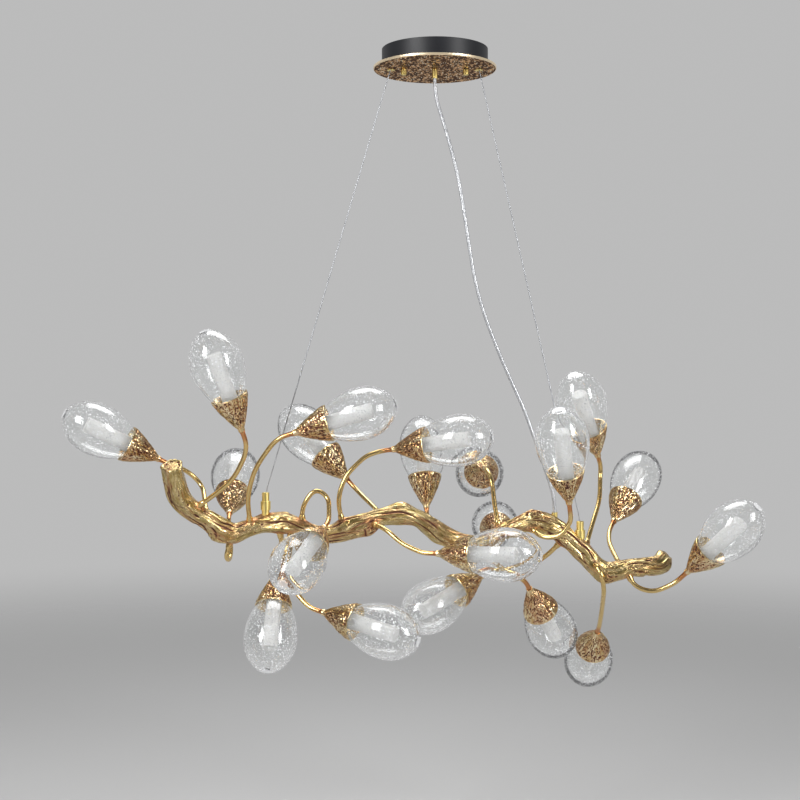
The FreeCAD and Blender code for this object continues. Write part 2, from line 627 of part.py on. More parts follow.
def make_grippers():
    """Wire grippers: bodies seated on the branch, release sleeves in them, and the wires they hold."""
    bodies = []
    for side, sign, station, rise in GRIPPERS:
        foot = gripper_foot(station, size[rise])
        body = Part.makeCylinder(size["gripper_diameter"] / 2, size["gripper_height"], foot)
        body = body.makeChamfer(
            size["sleeve_play"], [edge for edge in body.Edges if edge.Curve.TypeId == "Part::GeomCircle"])
        spigot = Part.makeCylinder(size["spigot_diameter"] / 2, size[rise], foot - Vector(0, 0, size[rise]))
        well = Part.makeCylinder(
            size["sleeve_diameter"] / 2 + size["sleeve_play"], size["gripper_height"] - size["gripper_floor"],
            foot + Vector(0, 0, size["gripper_floor"]))
        bore = Part.makeCylinder(
            size["wire_bore"] / 2, size["gripper_height"] - size["wire_foot"],
            foot + Vector(0, 0, size["wire_foot"]))
        bodies.append(body.fuse(spigot).cut([branch_stretch(station), well, bore]))

        sleeve = new_body(f"gripper_sleeve_{side}")
        turned(sleeve, (
            ("sleeve_bore / 2", "0"),
            ("sleeve_diameter / 2", "0"),
            ("sleeve_diameter / 2", "sleeve_height - sleeve_play * 2"),
            ("sleeve_diameter / 2 - sleeve_play * 2", "sleeve_height"),
            ("sleeve_bore / 2", "sleeve_height"),
        ))
        sleeve.Placement.Base = foot + Vector(0, 0, size["gripper_height"] - size["sleeve_sunk"])

        ball = Vector(sign * size["wire_spacing"] / 2, 0, ball_height())
        mouth = foot + Vector(0, 0, size["gripper_height"] - size["sleeve_sunk"] + size["sleeve_height"])
        end = foot + Vector(0, 0, size["wire_foot"])
        wire = checked_pipe(f"wire_{side}", (ball, mouth, end), size["wire_diameter"] / 2)
        swaged = Part.makeSphere(size["ball_diameter"] / 2, ball)
        feature(f"wire_{side}", wire.fuse(swaged))
    feature("gripper_bodies", Part.makeCompound(bodies))


def make_cord():
    """Power cord, and the ferrule that takes its lower end into the branch."""
    centre = along_branch(CORD_STATION)[0]
    top = centre + Vector(0, 0, size["cord_bush_rise"])
    ferrule = Part.makeCylinder(size["cord_bush_diameter"] / 2, size["cord_bush_rise"], centre)
    grip = Part.makeCylinder(
        size["cord_diameter"] / 2 + size["cord_play"], size["cord_bush_grip"],
        top - Vector(0, 0, size["cord_bush_grip"]))
    feature("cord_bush", ferrule.cut([branch_stretch(CORD_STATION), grip]))
    print("ferrule", top)
    route = [Vector(*point) for point in CORD_ROUTE]
    feature("power_cord", checked_pipe("power_cord", route, size["cord_diameter"] / 2))


def make_stem(number, light):
    """A curved tube from its cast socket on the branch into the collar of its cup."""
    station, bends, tip_shares, axis_shares = light
    centre, radius = along_branch(station)
    tip = ordered(tip_shares)
    axis = Vector(*axis_shares).normalize()
    points = [centre]
    points += [ordered(bend) for bend in bends]
    points += [tip - axis * size["stem_lead"], tip + axis * size["stem_grip"]]
    label = f"stem_{number:02d}"
    outer = size["stem_diameter"] / 2
    wire, radii = bent_wire(points)
    bar = checked_pipe(label, points, outer)
    bore = pipe(wire, points[0], points[1], outer - size["stem_wall"])
    toward = (points[1] - centre).normalize()
    socket = Part.makeCone(
        size["socket_diameter"] / 2, outer + size["socket_lip"], radius + size["socket_reach"], centre, toward)
    trimmed = bar.fuse(socket).cut([branch_stretch(station), bore])
    solids = sorted(trimmed.Solids, key=lambda item: item.Volume)
    return feature(label, solids[-1])


# Light heads
def cup_inner(height):
    """Inner radius of the cup at a height above its tip."""
    low = size["stem_diameter"] / 2 + size["collar_play"]
    high = size["cup_rim"] / 2 - size["cup_wall"]
    return low + (high - low) * (height - size["collar_length"]) / (size["cup_length"] - size["collar_length"])


def lamp_seat():
    """Height above the cup's tip where the lamp base seats in the cup's cone."""
    low = cup_inner(size["collar_length"])
    high = cup_inner(size["cup_length"])
    need = size["lamp_diameter"] / 2 + size["lamp_play"]
    return size["collar_length"] + (need - low) / (high - low) * (size["cup_length"] - size["collar_length"])


def make_cup(number, light):
    """Acorn-like cup: a collar for the stem that flares to the rim, round a conical inside."""
    cup = new_body(f"cup_{number:02d}")
    rows = [
        ("stem_diameter / 2 + collar_play", "0"),
        ("cup_collar / 2", "0"),
        ("cup_collar / 2", "collar_length"),
    ]
    for along, out in CUP_SHARES:
        rows.append((f"cup_rim / 2 * {out}", f"cup_length * {along}"))
    rows += [
        ("cup_rim / 2", "cup_length"),
        ("cup_rim / 2 - cup_wall", "cup_length"),
        ("stem_diameter / 2 + collar_play", "collar_length"),
    ]
    turned(cup, rows)
    cup.Placement = light_frame(light)


def glass_outline(radius, length, start):
    """Smooth outline of the globe from its neck edge to the axis at its far end."""
    points = [Vector(out * radius, 0, start + along * length) for along, out in GLASS_SHARES]
    curve = Part.BSplineCurve()
    neck_slope = (points[1] - points[0]).normalize()
    curve.interpolate(points, InitialTangent=neck_slope, FinalTangent=Vector(-1, 0, 0))
    return curve.toShape()


def glass_globe():
    """Blown globe: thin wall, open neck, thick far end."""
    start = size["cup_length"] - size["glass_sunk"]
    outer = glass_outline(size["glass_diameter"] / 2, size["glass_length"], start)
    inner = glass_outline(
        size["glass_diameter"] / 2 - size["glass_wall"], size["glass_length"] - size["glass_end"], start)
    neck = Part.LineSegment(inner.Vertexes[0].Point, outer.Vertexes[0].Point).toShape()
    pole = Part.LineSegment(outer.Vertexes[-1].Point, inner.Vertexes[-1].Point).toShape()
    outline = Part.Face(Part.Wire(Part.__sortEdges__([neck, outer, pole, inner])))
    return outline.revolve(Vector(), Vector(0, 0, 1), 360)


def lamp_and_tube():
    """Lamp base with its board post, and the closed frosted tube that stands over the post."""
    seat = lamp_seat()
    top = seat + size["lamp_height"]
    base = Part.makeCylinder(size["lamp_diameter"] / 2, size["lamp_height"], Vector(0, 0, seat))
    post_length = size["tube_length"] - size["tube_wall"] * 3
    post = Part.makeCylinder(size["post_diameter"] / 2, post_length, Vector(0, 0, top))
    tube = Part.makeCylinder(size["tube_diameter"] / 2, size["tube_length"], Vector(0, 0, top))
    hollow = Part.makeCylinder(
        size["tube_diameter"] / 2 - size["tube_wall"], size["tube_length"] - size["tube_wall"],
        Vector(0, 0, top))
    return base.fuse(post).removeSplitter(), tube.cut(hollow)


def make_lights():
    """Stems and cups one by one, and the globes, frosted tubes and lamps as groups."""
    globe = glass_globe()
    lamp, tube = lamp_and_tube()
    groups = {"glass_globes": globe, "led_tubes": tube, "led_lamps": lamp}
    for number, light in enumerate(LIGHT_SHARES, start=1):
        make_stem(number, light)
        make_cup(number, light)
    for label, piece in groups.items():
        copies = []
        for light in LIGHT_SHARES:
            copy = piece.copy()
            copy.Placement = light_frame(light)
            copies.append(copy)
        feature(label, Part.makeCompound(copies))


make_canopy()
make_studs_and_nuts()
make_wire_bushes()
make_branch()
make_grippers()
make_cord()
make_lights()
doc.recompute()

# Every object has to be sound before anything is written
for item in doc.Objects:
    if "Invalid" in item.State or "Error" in item.State:
        raise RuntimeError(f"{item.Label}: {item.State}")

SUB_PARTS = [
    item for item in doc.Objects
    if item.TypeId == "PartDesign::Body" or item.Label == "branch"
    or (item.TypeId == "Part::Feature" and not item.Label.startswith("bark_section"))
]
for item in SUB_PARTS:
    if item.Shape.isNull() or not item.Shape.isValid() or item.Shape.Volume <= 0:
        raise RuntimeError(f"{item.Label}: shape is not sound")
for item in SUB_PARTS:
    item.Shape.exportStep(f"parts/{item.Label}.step")
print(len(SUB_PARTS), "sub-parts")
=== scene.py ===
"""Dresses the branch chandelier: cast bark, brass stems, seeded glass, canopy, wires, cord and studio."""
import logging
import math
from dataclasses import dataclass, field
from enum import Enum

import bmesh
import bpy
import numpy as np
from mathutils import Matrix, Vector, noise


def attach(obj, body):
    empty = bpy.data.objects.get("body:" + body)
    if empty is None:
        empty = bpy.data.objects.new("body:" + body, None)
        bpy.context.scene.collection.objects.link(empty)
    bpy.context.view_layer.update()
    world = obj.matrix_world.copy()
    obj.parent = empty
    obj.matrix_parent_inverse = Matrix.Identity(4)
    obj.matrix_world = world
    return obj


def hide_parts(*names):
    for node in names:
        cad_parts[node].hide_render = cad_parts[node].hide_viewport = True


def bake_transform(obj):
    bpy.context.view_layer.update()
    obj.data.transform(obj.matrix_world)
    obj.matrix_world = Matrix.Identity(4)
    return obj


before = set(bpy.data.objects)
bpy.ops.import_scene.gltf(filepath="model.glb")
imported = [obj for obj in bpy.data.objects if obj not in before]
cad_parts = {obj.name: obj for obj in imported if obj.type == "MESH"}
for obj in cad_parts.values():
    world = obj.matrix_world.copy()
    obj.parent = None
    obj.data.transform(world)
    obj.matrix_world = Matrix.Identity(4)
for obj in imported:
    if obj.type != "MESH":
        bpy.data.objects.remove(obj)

LOG = logging.getLogger("chandelier")
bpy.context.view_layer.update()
MM = 0.001
MERGE_GAP = 0.002 * MM
SHORTEST_EDGE = 0.001 * MM
Colour = tuple[float, float, float]
Point = tuple[float, float, float]


class Body(Enum):
    """The moving bodies that a piece can ride on."""

    CANOPY = "canopy"
    BRANCH = "hanging_branch"


# Node building, for materials and for Geometry Nodes
class Term:
    """A node's output, such as a number, vector or colour, that takes part in Python arithmetic."""

    def __init__(self, nodes: "NodeTree", socket: bpy.types.NodeSocket) -> None:
        """Keep the tree being built and the output that holds the value."""
        self.nodes = nodes
        self.socket = socket

    def _calc(self, operation: str, first: "Term | float", second: "Term | float" = 0.0) -> "Term":
        """Add one Math node and return its result."""
        return self.nodes.out("ShaderNodeMath", {"operation": operation}, {0: first, 1: second})

    def __add__(self, other: "Term | float") -> "Term":
        """Sum."""
        return self._calc("ADD", self, other)

    __radd__ = __add__

    def __sub__(self, other: "Term | float") -> "Term":
        """Difference."""
        return self._calc("SUBTRACT", self, other)

    def __rsub__(self, other: float) -> "Term":
        """Difference from a number."""
        return self._calc("SUBTRACT", other, self)

    def __mul__(self, other: "Term | float") -> "Term":
        """Product."""
        return self._calc("MULTIPLY", self, other)

    __rmul__ = __mul__

    def __truediv__(self, other: "Term | float") -> "Term":
        """Quotient."""
        return self._calc("DIVIDE", self, other)

    def __pow__(self, other: float) -> "Term":
        """Power."""
        return self._calc("POWER", self, other)

    def __abs__(self) -> "Term":
        """Distance from zero."""
        return self._calc("ABSOLUTE", self)

    def largest(self, other: "Term | float") -> "Term":
        """The larger of two values."""
        return self._calc("MAXIMUM", self, other)

    def step(self, low: float, high: float, start: float = 0.0, end: float = 1.0) -> "Term":
        """Ease from start to end while the value goes from low to high."""
        return self.nodes.out("ShaderNodeMapRange", {"interpolation_type": "SMOOTHSTEP"}, {
            "Value": self, "From Min": low, "From Max": high, "To Min": start, "To Max": end})

    def part(self, axis: str) -> "Term":
        """One component, X, Y or Z, of a vector."""
        return self.nodes.out("ShaderNodeSeparateXYZ", None, {0: self}, axis)

    def vector(self, operation: str, other: "Term | Point" = (0.0, 0.0, 0.0), name: str = "Vector") -> "Term":
        """Add one Vector Math node and return its result."""
        return self.nodes.out("ShaderNodeVectorMath", {"operation": operation}, {0: self, 1: other}, name)

    def scaled(self, factor: "Term | float") -> "Term":
        """A vector times a number."""
        return self.nodes.out("ShaderNodeVectorMath", {"operation": "SCALE"}, {0: self, "Scale": factor})

    def length(self) -> "Term":
        """Length of a vector."""
        return self.vector("LENGTH", name="Value")


class NodeTree:
    """Adds nodes to one tree and feeds their sockets."""

    def __init__(self, tree: bpy.types.NodeTree) -> None:
        """Keep the tree."""
        self.tree = tree

    def add(self, kind: str, settings: dict | None = None, sockets: dict | None = None) -> bpy.types.Node:
        """Add a node, set it up and feed its sockets.

        Args:
            kind: The node's type.
            settings: Properties that are set first.
            sockets: Socket name or number to a value, colour or Term.

        Returns:
            The node.
        """
        node = self.tree.nodes.new(kind)
        for key, value in (settings or {}).items():
            setattr(node, key, value)
        for key, value in (sockets or {}).items():
            socket = node.inputs[key]
            if isinstance(value, Term):
                self.tree.links.new(value.socket, socket)
            elif isinstance(value, tuple) and len(value) == 3 and socket.type == "RGBA":
                socket.default_value = (*value, 1.0)
            else:
                socket.default_value = value
        return node

    def out(
            self, kind: str, settings: dict | None = None, sockets: dict | None = None,
            name: str | int = 0) -> Term:
        """Add a node as add does, and take the named one of its outputs."""
        return Term(self, self.add(kind, settings, sockets).outputs[name])


class Paint(NodeTree):
    """Builds the nodes of one material."""

    def __init__(self, name: str) -> None:
        """Start an empty material.

        Args:
            name: The finish's name.
        """
        self.material = bpy.data.materials.new(name)
        self.material.use_nodes = True
        super().__init__(self.material.node_tree)
        self.tree.nodes.clear()

    def place(self) -> Term:
        """Object coordinates."""
        return self.out("ShaderNodeTexCoord", name="Object")

    def from_axis(self) -> Term:
        """Distance from the upright line through the origin."""
        return self.stretched(self.place(), (1.0, 1.0, 0.0)).length()

    def carried(self, name: str, scalar: bool = False) -> Term:
        """A point attribute that the mesh carries, as a vector or, where scalar is true, as one number."""
        return self.out("ShaderNodeAttribute", {"attribute_name": name}, name="Fac" if scalar else "Vector")

    def stretched(self, vector: Term, scale: Point) -> Term:
        """Scale a vector along its three axes."""
        return self.out("ShaderNodeMapping", None, {"Vector": vector, "Scale": scale})

    def grain(
            self, vector: Term, scale: float, detail: float = 2.0, rough: float = 0.5,
            warp: float = 0.0) -> Term:
        """Noise from 0 to 1, with its cells per unit, its octaves, their weight and its distortion."""
        sockets = {"Vector": vector, "Scale": scale, "Detail": detail, "Roughness": rough, "Distortion": warp}
        return self.out("ShaderNodeTexNoise", None, sockets, "Fac")

    def cells(self, vector: Term, scale: float) -> Term:
        """Distance to the nearest cell point."""
        return self.out("ShaderNodeTexVoronoi", None, {"Vector": vector, "Scale": scale}, "Distance")

    def blend(self, factor: Term, low: "Colour | Term", high: "Colour | Term") -> Term:
        """Mix two colours, the first where the factor is 0 and the second where it is 1."""
        return self.out("ShaderNodeMix", {"data_type": "RGBA"}, {0: factor, 6: low, 7: high}, 2)

    def bump(self, height: Term, distance: float, strength: float) -> Term:
        """A normal that follows a height."""
        return self.out("ShaderNodeBump", None, {
            "Height": height, "Distance": distance, "Strength": strength})

    def surface(self, sockets: dict) -> Term:
        """The main shader with these sockets."""
        return self.out("ShaderNodeBsdfPrincipled", None, sockets)

    def mixed(self, factor: Term, low: Term, high: Term) -> Term:
        """Mix two shaders, the first where the factor is 0 and the second where it is 1."""
        return self.out("ShaderNodeMixShader", None, {0: factor, 1: low, 2: high})

    def close(self, shader: Term) -> bpy.types.Material:
        """Join a shader to the output and return the material."""
        self.add("ShaderNodeOutputMaterial", None, {"Surface": shader})
        return self.material

    def finish(self, sockets: dict) -> bpy.types.Material:
        """Close the material on the main shader with these sockets."""
        return self.close(self.surface(sockets))


# Finishes
@dataclass(frozen=True)
class CastGold:
    """Gold-lacquered casting with red-brown patina left in its grooves."""

    gold: Colour = (0.44, 0.32, 0.12)
    bright: Colour = (0.78, 0.64, 0.34)
    copper: Colour = (0.56, 0.24, 0.11)
    patina: Colour = (0.075, 0.016, 0.007)
    warmth: float = 0.0
    veining: float = 0.7
    stain_from: float = 0.36
    rough: float = 0.29
    grain_height: float = 0.5 * MM
    name: str = "cast gold"

    def material(self) -> bpy.types.Material:
        """The finish as a material."""
        paint = Paint(self.name)
        pattern = paint.carried("pattern")
        groove = paint.carried("groove", True)
        seat = paint.carried("blush", True)
        tone = paint.grain(pattern, 1.3, 4.0, 0.6)
        cloud = paint.grain(pattern, 0.55, 3.0, 0.55)
        fine = paint.grain(pattern, 6.0, 5.0, 0.65)
        vein = (1.0 - abs(paint.grain(pattern, 2.6, 2.0) - 0.5).step(0.008, 0.05)) * tone.step(0.40, 0.60)
        groove = groove.largest(vein * self.veining)
        stain = groove + (fine - 0.5) * 0.45 + (cloud - 0.5) * 0.30
        stain = stain.step(self.stain_from, self.stain_from + 0.36)
        warm = (cloud + groove * 0.55 + seat * 0.45 + self.warmth).step(0.50, 0.95) * 0.8
        colour = paint.blend(tone.step(0.36, 0.66), self.gold, self.bright)
        colour = paint.blend(warm, colour, self.copper)
        return paint.finish({
            "Base Color": paint.blend(stain, colour, self.patina),
            "Metallic": 1.0 - stain * 0.75,
            "Roughness": self.rough + stain * 0.35 + (fine - 0.5) * 0.2,
            "Normal": paint.bump(fine * 0.6 + tone - vein * self.veining, self.grain_height, 0.6),
        })


@dataclass(frozen=True)
class SatinBrass:
    """Brushed brass with a copper blush."""

    brass: Colour = (0.72, 0.52, 0.22)
    copper: Colour = (0.60, 0.27, 0.11)
    rough: float = 0.25
    grain_height: float = 0.05 * MM
    name: str = "satin brass"

    def material(self) -> bpy.types.Material:
        """The finish as a material."""
        paint = Paint(self.name)
        cloud = paint.grain(paint.place(), 28.0, 3.0)
        fine = paint.grain(paint.place(), 900.0, 2.0)
        tint = (paint.carried("blush", True) + (cloud - 0.48) * 1.4).step(0.35, 0.95)
        return paint.finish({
            "Base Color": paint.blend(tint, self.brass, self.copper),
            "Metallic": 1.0,
            "Roughness": self.rough + (cloud - 0.5) * 0.14 + (fine - 0.5) * 0.05,
            "Normal": paint.bump(fine, self.grain_height, 0.4),
        })


@dataclass(frozen=True)
class SeededGlass:
    """Clear blown glass full of tiny seeds, which are painted white with a faint glow as painted glints."""

    tint: Colour = (0.99, 0.995, 0.995)
    seed: Colour = (0.97, 0.98, 1.0)
    # Strength of the seeds' painted glow.
    painted_seed_glow: float = 0.3
    ground_from: float = 177.6 * MM
    ground_edge: float = 0.4 * MM
    wave_height: float = 0.7 * MM
    name: str = "seeded glass"

    def material(self) -> bpy.types.Material:
        """The finish as a material."""
        paint = Paint(self.name)
        place = paint.place()
        crowd = paint.grain(place, 34.0, 2.0).step(0.34, 0.60)
        large = 1.0 - paint.cells(place, 128.0).step(0.14, 0.17)
        middle = 1.0 - paint.cells(place, 215.0).step(0.16, 0.20)
        haze = (1.0 - paint.cells(place, 400.0).step(0.14, 0.22)) * 0.6
        height = paint.carried("pattern").part("Z")
        ground = height.step(self.ground_from, self.ground_from + self.ground_edge)
        seeds = (large.largest(middle).largest(haze) * (0.45 + crowd * 0.55)).largest(ground * 0.35)
        glass = paint.surface({
            "Base Color": self.tint,
            "Roughness": 0.0,
            "IOR": 1.46,
            "Transmission Weight": 1.0,
            "Normal": paint.bump(paint.grain(place, 26.0, 2.0), self.wave_height, 0.20),
        })
        # The seeds and the ground far end are painted white and glow faintly: painted glints, not a lamp.
        glowing_seed = paint.surface({
            "Base Color": self.seed,
            "Roughness": 0.25,
            "Emission Color": self.seed,
            "Emission Strength": self.painted_seed_glow,
        })
        return paint.close(paint.mixed(seeds * 0.9, glass, glowing_seed))


@dataclass(frozen=True)
class FrostedTube:
    """Frosted lamp tube with the lamp's yellow chips showing faintly through it, and a faint painted glow
    although the lamp is off.
    """

    frost: Colour = (0.80, 0.80, 0.79)
    chip: Colour = (0.80, 0.70, 0.36)
    # Colour and strength of the tube's painted glow; the lamp itself is off.
    light: Colour = (1.0, 0.98, 0.94)
    painted_glow: float = 0.10
    depth: float = 4.0 * MM
    grain_height: float = 0.05 * MM
    name: str = "frosted tube"

    def material(self) -> bpy.types.Material:
        """The finish as a material."""
        paint = Paint(self.name)
        local = paint.carried("pattern")
        cloud = paint.grain(local, 40.0, 3.0)
        rows = 1.0 - paint.cells(paint.stretched(local, (60.0, 60.0, 90.0)), 1.0).step(0.12, 0.3)
        return paint.finish({
            "Base Color": paint.blend(rows * cloud.step(0.5, 0.68) * 0.5, self.frost, self.chip),
            "Roughness": 0.38 + (cloud - 0.5) * 0.1,
            "Subsurface Weight": 0.15,
            "Subsurface Radius": (self.depth,) * 3,
            # Painted glow: the unlit tube is made to shine faintly.
            "Emission Color": self.light,
            "Emission Strength": self.painted_glow,
            "Normal": paint.bump(paint.grain(local, 1400.0), self.grain_height, 0.3),
        })


@dataclass(frozen=True)
class HammeredGold:
    """Pebbled gold and brown leaf on the canopy's plate, with painted glints on the pebbles."""

    gold: Colour = (0.74, 0.38, 0.10)
    # Pale gold painted on the pebbles as glints: a painted highlight.
    light: Colour = (1.0, 0.90, 0.66)
    brown: Colour = (0.10, 0.040, 0.012)
    rim: Colour = (0.86, 0.70, 0.48)
    rim_radius: float = 103.4 * MM
    rim_edge: float = 0.8 * MM
    pebble_height: float = 1.2 * MM
    name: str = "hammered gold"

    def material(self) -> bpy.types.Material:
        """The finish as a material."""
        paint = Paint(self.name)
        rim = paint.from_axis().step(self.rim_radius, self.rim_radius + self.rim_edge)
        long = paint.stretched(paint.place(), (1.0, 0.4, 1.0))
        flake = paint.grain(long, 190.0, 2.0, 0.55, 1.2)
        pebble = paint.cells(long, 210.0)
        # Painted glints: pale gold put in the colour where the pebbles would catch the light.
        glint = (1.0 - pebble.step(0.18, 0.30)) * flake.step(0.38, 0.48)
        dark = (1.0 - flake.step(0.50, 0.58)) * (1.0 - glint) * (1.0 - rim * 0.85)
        colour = paint.blend(glint, self.gold, self.light)
        colour = paint.blend(dark, colour, self.brown)
        return paint.finish({
            "Base Color": paint.blend(rim, colour, self.rim),
            "Metallic": 1.0 - dark * 0.15 - rim * 0.4,
            "Roughness": 0.28 + dark * 0.4 + (flake - 0.5) * 0.2,
            "Normal": paint.bump((flake - pebble) * (1.0 - rim * 0.8), self.pebble_height, 0.7),
        })


@dataclass(frozen=True)
class Lacquer:
    """Plain coated or moulded surface with a fine orange-peel grain."""

    colour: Colour
    rough: float = 0.35
    metal: float = 0.0
    peel: float = 500.0
    peel_height: float = 0.08 * MM
    name: str = "lacquer"

    def material(self) -> bpy.types.Material:
        """The finish as a material."""
        paint = Paint(self.name)
        peel = paint.grain(paint.place(), self.peel, 3.0)
        cloud = paint.grain(paint.place(), 20.0, 3.0)
        dim = tuple(part * 0.82 for part in self.colour)
        return paint.finish({
            "Base Color": paint.blend(cloud.step(0.3, 0.7), dim, self.colour),
            "Metallic": self.metal,
            "Roughness": self.rough + (cloud - 0.5) * 0.1 + (peel - 0.5) * 0.08,
            "Normal": paint.bump(peel, self.peel_height, 0.4),
        })


@dataclass(frozen=True)
class StrandedWire:
    """Twisted strands of thin steel wire, with painted shade in the grooves between the strands."""

    steel: Colour = (0.44, 0.45, 0.47)
    pitch: float = 1.2 * MM
    lay_height: float = 0.05 * MM
    name: str = "stranded wire"

    def material(self) -> bpy.types.Material:
        """The finish as a material."""
        paint = Paint(self.name)
        lay = paint.out("ShaderNodeTexWave", {"bands_direction": "DIAGONAL"}, {
            "Vector": paint.place(), "Scale": 0.35 / self.pitch}, "Fac")
        # Painted shade: the steel is darker in the grooves between the strands.
        dim = tuple(part * 0.85 for part in self.steel)
        return paint.finish({
            "Base Color": paint.blend(lay.step(0.1, 0.6), dim, self.steel),
            "Metallic": 0.8,
            "Roughness": 0.45 - lay * 0.1,
            "Normal": paint.bump(lay, self.lay_height, 0.3),
        })


@dataclass(frozen=True)
class ClearSheath:
    """Clear cord sheath over a silver braid."""

    silver: Colour = (0.70, 0.71, 0.73)
    dark: Colour = (0.38, 0.39, 0.41)
    braid_height: float = 0.15 * MM
    name: str = "clear sheath"

    def material(self) -> bpy.types.Material:
        """The finish as a material."""
        paint = Paint(self.name)
        braid = paint.cells(paint.stretched(paint.place(), (1.0, 1.0, 0.55)), 620.0)
        return paint.finish({
            "Base Color": paint.blend(braid.step(0.15, 0.75), self.silver, self.dark),
            "Metallic": 0.55,
            "Roughness": 0.30 + braid * 0.2,
            "Coat Weight": 0.8,
            "Coat Roughness": 0.08,
            "Normal": paint.bump(braid, self.braid_height, 0.4),
        })


# Geometry building
class Recipe(NodeTree):
    """Builds one Geometry Nodes tree with named inputs and turns its result into a mesh."""

    def __init__(self, name: str) -> None:
        """Start a tree that takes and returns geometry.

        Args:
            name: The tree's name.
        """
        super().__init__(bpy.data.node_groups.new(name, "GeometryNodeTree"))
        for way in ("INPUT", "OUTPUT"):
            self.tree.interface.new_socket("Geometry", in_out=way, socket_type="NodeSocketGeometry")
        self.entry = self.tree.nodes.new("NodeGroupInput")
        self.values: dict[str, object] = {}

    def given(self, name: str, kind: str, value: object) -> Term:
        """Add a named input.

        Args:
            name: The input's name.
            kind: Float, Int, Object or Material.
            value: What the input is set to.

        Returns:
            The input inside the tree.
        """
        socket = self.tree.interface.new_socket(name, in_out="INPUT", socket_type=f"NodeSocket{kind}")
        self.values[socket.identifier] = value
        return Term(self, self.entry.outputs[name])

    def named(self, name: str, kind: str = "FLOAT") -> Term:
        """A named attribute."""
        return self.out("GeometryNodeInputNamedAttribute", {"data_type": kind}, {"Name": name})

    def stored(
            self, geometry: Term, name: str, value: Term, kind: str = "FLOAT", domain: str = "POINT") -> Term:
        """The geometry with a value kept on it as a named attribute."""
        return self.out("GeometryNodeStoreNamedAttribute", {"data_type": kind, "domain": domain}, {
            "Geometry": geometry, "Name": name, "Value": value})

    def close(self, geometry: Term, material: bpy.types.Material) -> None:
        """Realize the instances, set the material and join the output.

        Args:
            geometry: The finished geometry.
            material: Its material.
        """
        real = self.out("GeometryNodeRealizeInstances", None, {"Geometry": geometry})
        dressed = self.out("GeometryNodeSetMaterial", None, {
            "Geometry": real, "Material": self.given("Material", "Material", material)})
        self.add("NodeGroupOutput", None, {0: dressed})

    def cook(self, base: bpy.types.Mesh, name: str) -> bpy.types.Object:
        """Run the tree on a mesh and keep the result as a plain mesh object.

        Args:
            base: The mesh that goes in.
            name: The new piece's name.

        Returns:
            The new object.
        """
        carrier = new_object(f"{name}_base", base)
        modifier = carrier.modifiers.new("cook", "NODES")
        modifier.node_group = self.tree
        for identifier, value in self.values.items():
            modifier[identifier] = value
        item = new_object(name, plain_mesh(carrier))
        carrier.modifiers.clear()
        bpy.data.objects.remove(carrier)
        return item


def new_object(name: str, data: bpy.types.ID) -> bpy.types.Object:
    """Link a new object that stands at the origin.

    Args:
        name: Its name.
        data: Its mesh, curve, lamp or camera.

    Returns:
        The object.
    """
    item = bpy.data.objects.new(name, data)
    bpy.context.scene.collection.objects.link(item)
    return item


def plain_mesh(item: bpy.types.Object) -> bpy.types.Mesh:
    """An object's shape, with its modifiers or its bevel, as a new mesh."""
    return bpy.data.meshes.new_from_object(item.evaluated_get(bpy.context.evaluated_depsgraph_get()))


def points_of(mesh: bpy.types.Mesh) -> np.ndarray:
    """The places of a mesh's points.

    Args:
        mesh: The mesh.

    Returns:
        One row of three for each point, in metres.
    """
    spots = np.zeros(len(mesh.vertices) * 3)
    mesh.vertices.foreach_get("co", spots)
    return spots.reshape(-1, 3)


def grid_mesh(name: str, points: np.ndarray, closed_along: bool = False) -> bpy.types.Mesh:
    """A mesh from rings of points, each ring closed round.

    Args:
        name: The mesh's name.
        points: Array of rings by points by three.
        closed_along: True where the last ring joins the first.

    Returns:
        A smooth-shaded mesh.
    """
    rings, sides = points.shape[:2]
    ring = np.arange(rings if closed_along else rings - 1)[:, None]
    side = np.arange(sides)[None, :]
    ahead = (ring + 1) % rings
    beside = (side + 1) % sides
    faces = np.stack([
        ring * sides + side, ring * sides + beside, ahead * sides + beside, ahead * sides + side], axis=-1)
    mesh = bpy.data.meshes.new(name)
    mesh.from_pydata(points.reshape(-1, 3).tolist(), [], faces.reshape(-1, 4).tolist())
    mesh.polygons.foreach_set("use_smooth", np.ones(len(mesh.polygons), bool))
    return mesh


def turned_mesh(name: str, rows: list[tuple[float, float]], sides: int) -> bpy.types.Mesh:
    """Revolve a closed outline about Z.

    Args:
        name: The mesh's name.
        rows: The outline's radii and heights.
        sides: How many points go round.

    Returns:
        The mesh, its poles merged.
    """
    angles = np.linspace(0, 2 * math.pi, sides, endpoint=False)
    outline = np.array(rows)
    points = np.zeros((len(rows), sides, 3))
    points[:, :, :2] = outline[:, None, :1] * np.stack([np.cos(angles), np.sin(angles)], axis=-1)[None]
    points[:, :, 2] = outline[:, None, 1]
    mesh = grid_mesh(name, points, True)
    tidy_mesh(mesh)
    return mesh


def tidy_mesh(mesh: bpy.types.Mesh, sharp: float = 38.0) -> None:
    """Merge doubles, point faces outwards and shade smooth but for sharp edges.

    Args:
        mesh: The mesh, changed in place.
        sharp: Angle in degrees from which an edge stays sharp.
    """
    work = bmesh.new()
    work.from_mesh(mesh)
    bmesh.ops.remove_doubles(work, verts=work.verts, dist=MERGE_GAP)
    bmesh.ops.dissolve_degenerate(work, dist=SHORTEST_EDGE, edges=work.edges)
    bmesh.ops.recalc_face_normals(work, faces=work.faces)
    for face in work.faces:
        face.smooth = True
    for edge in work.edges:
        if len(edge.link_faces) == 2 and edge.calc_face_angle(0.0) > math.radians(sharp):
            edge.smooth = False
    work.to_mesh(mesh)
    work.free()


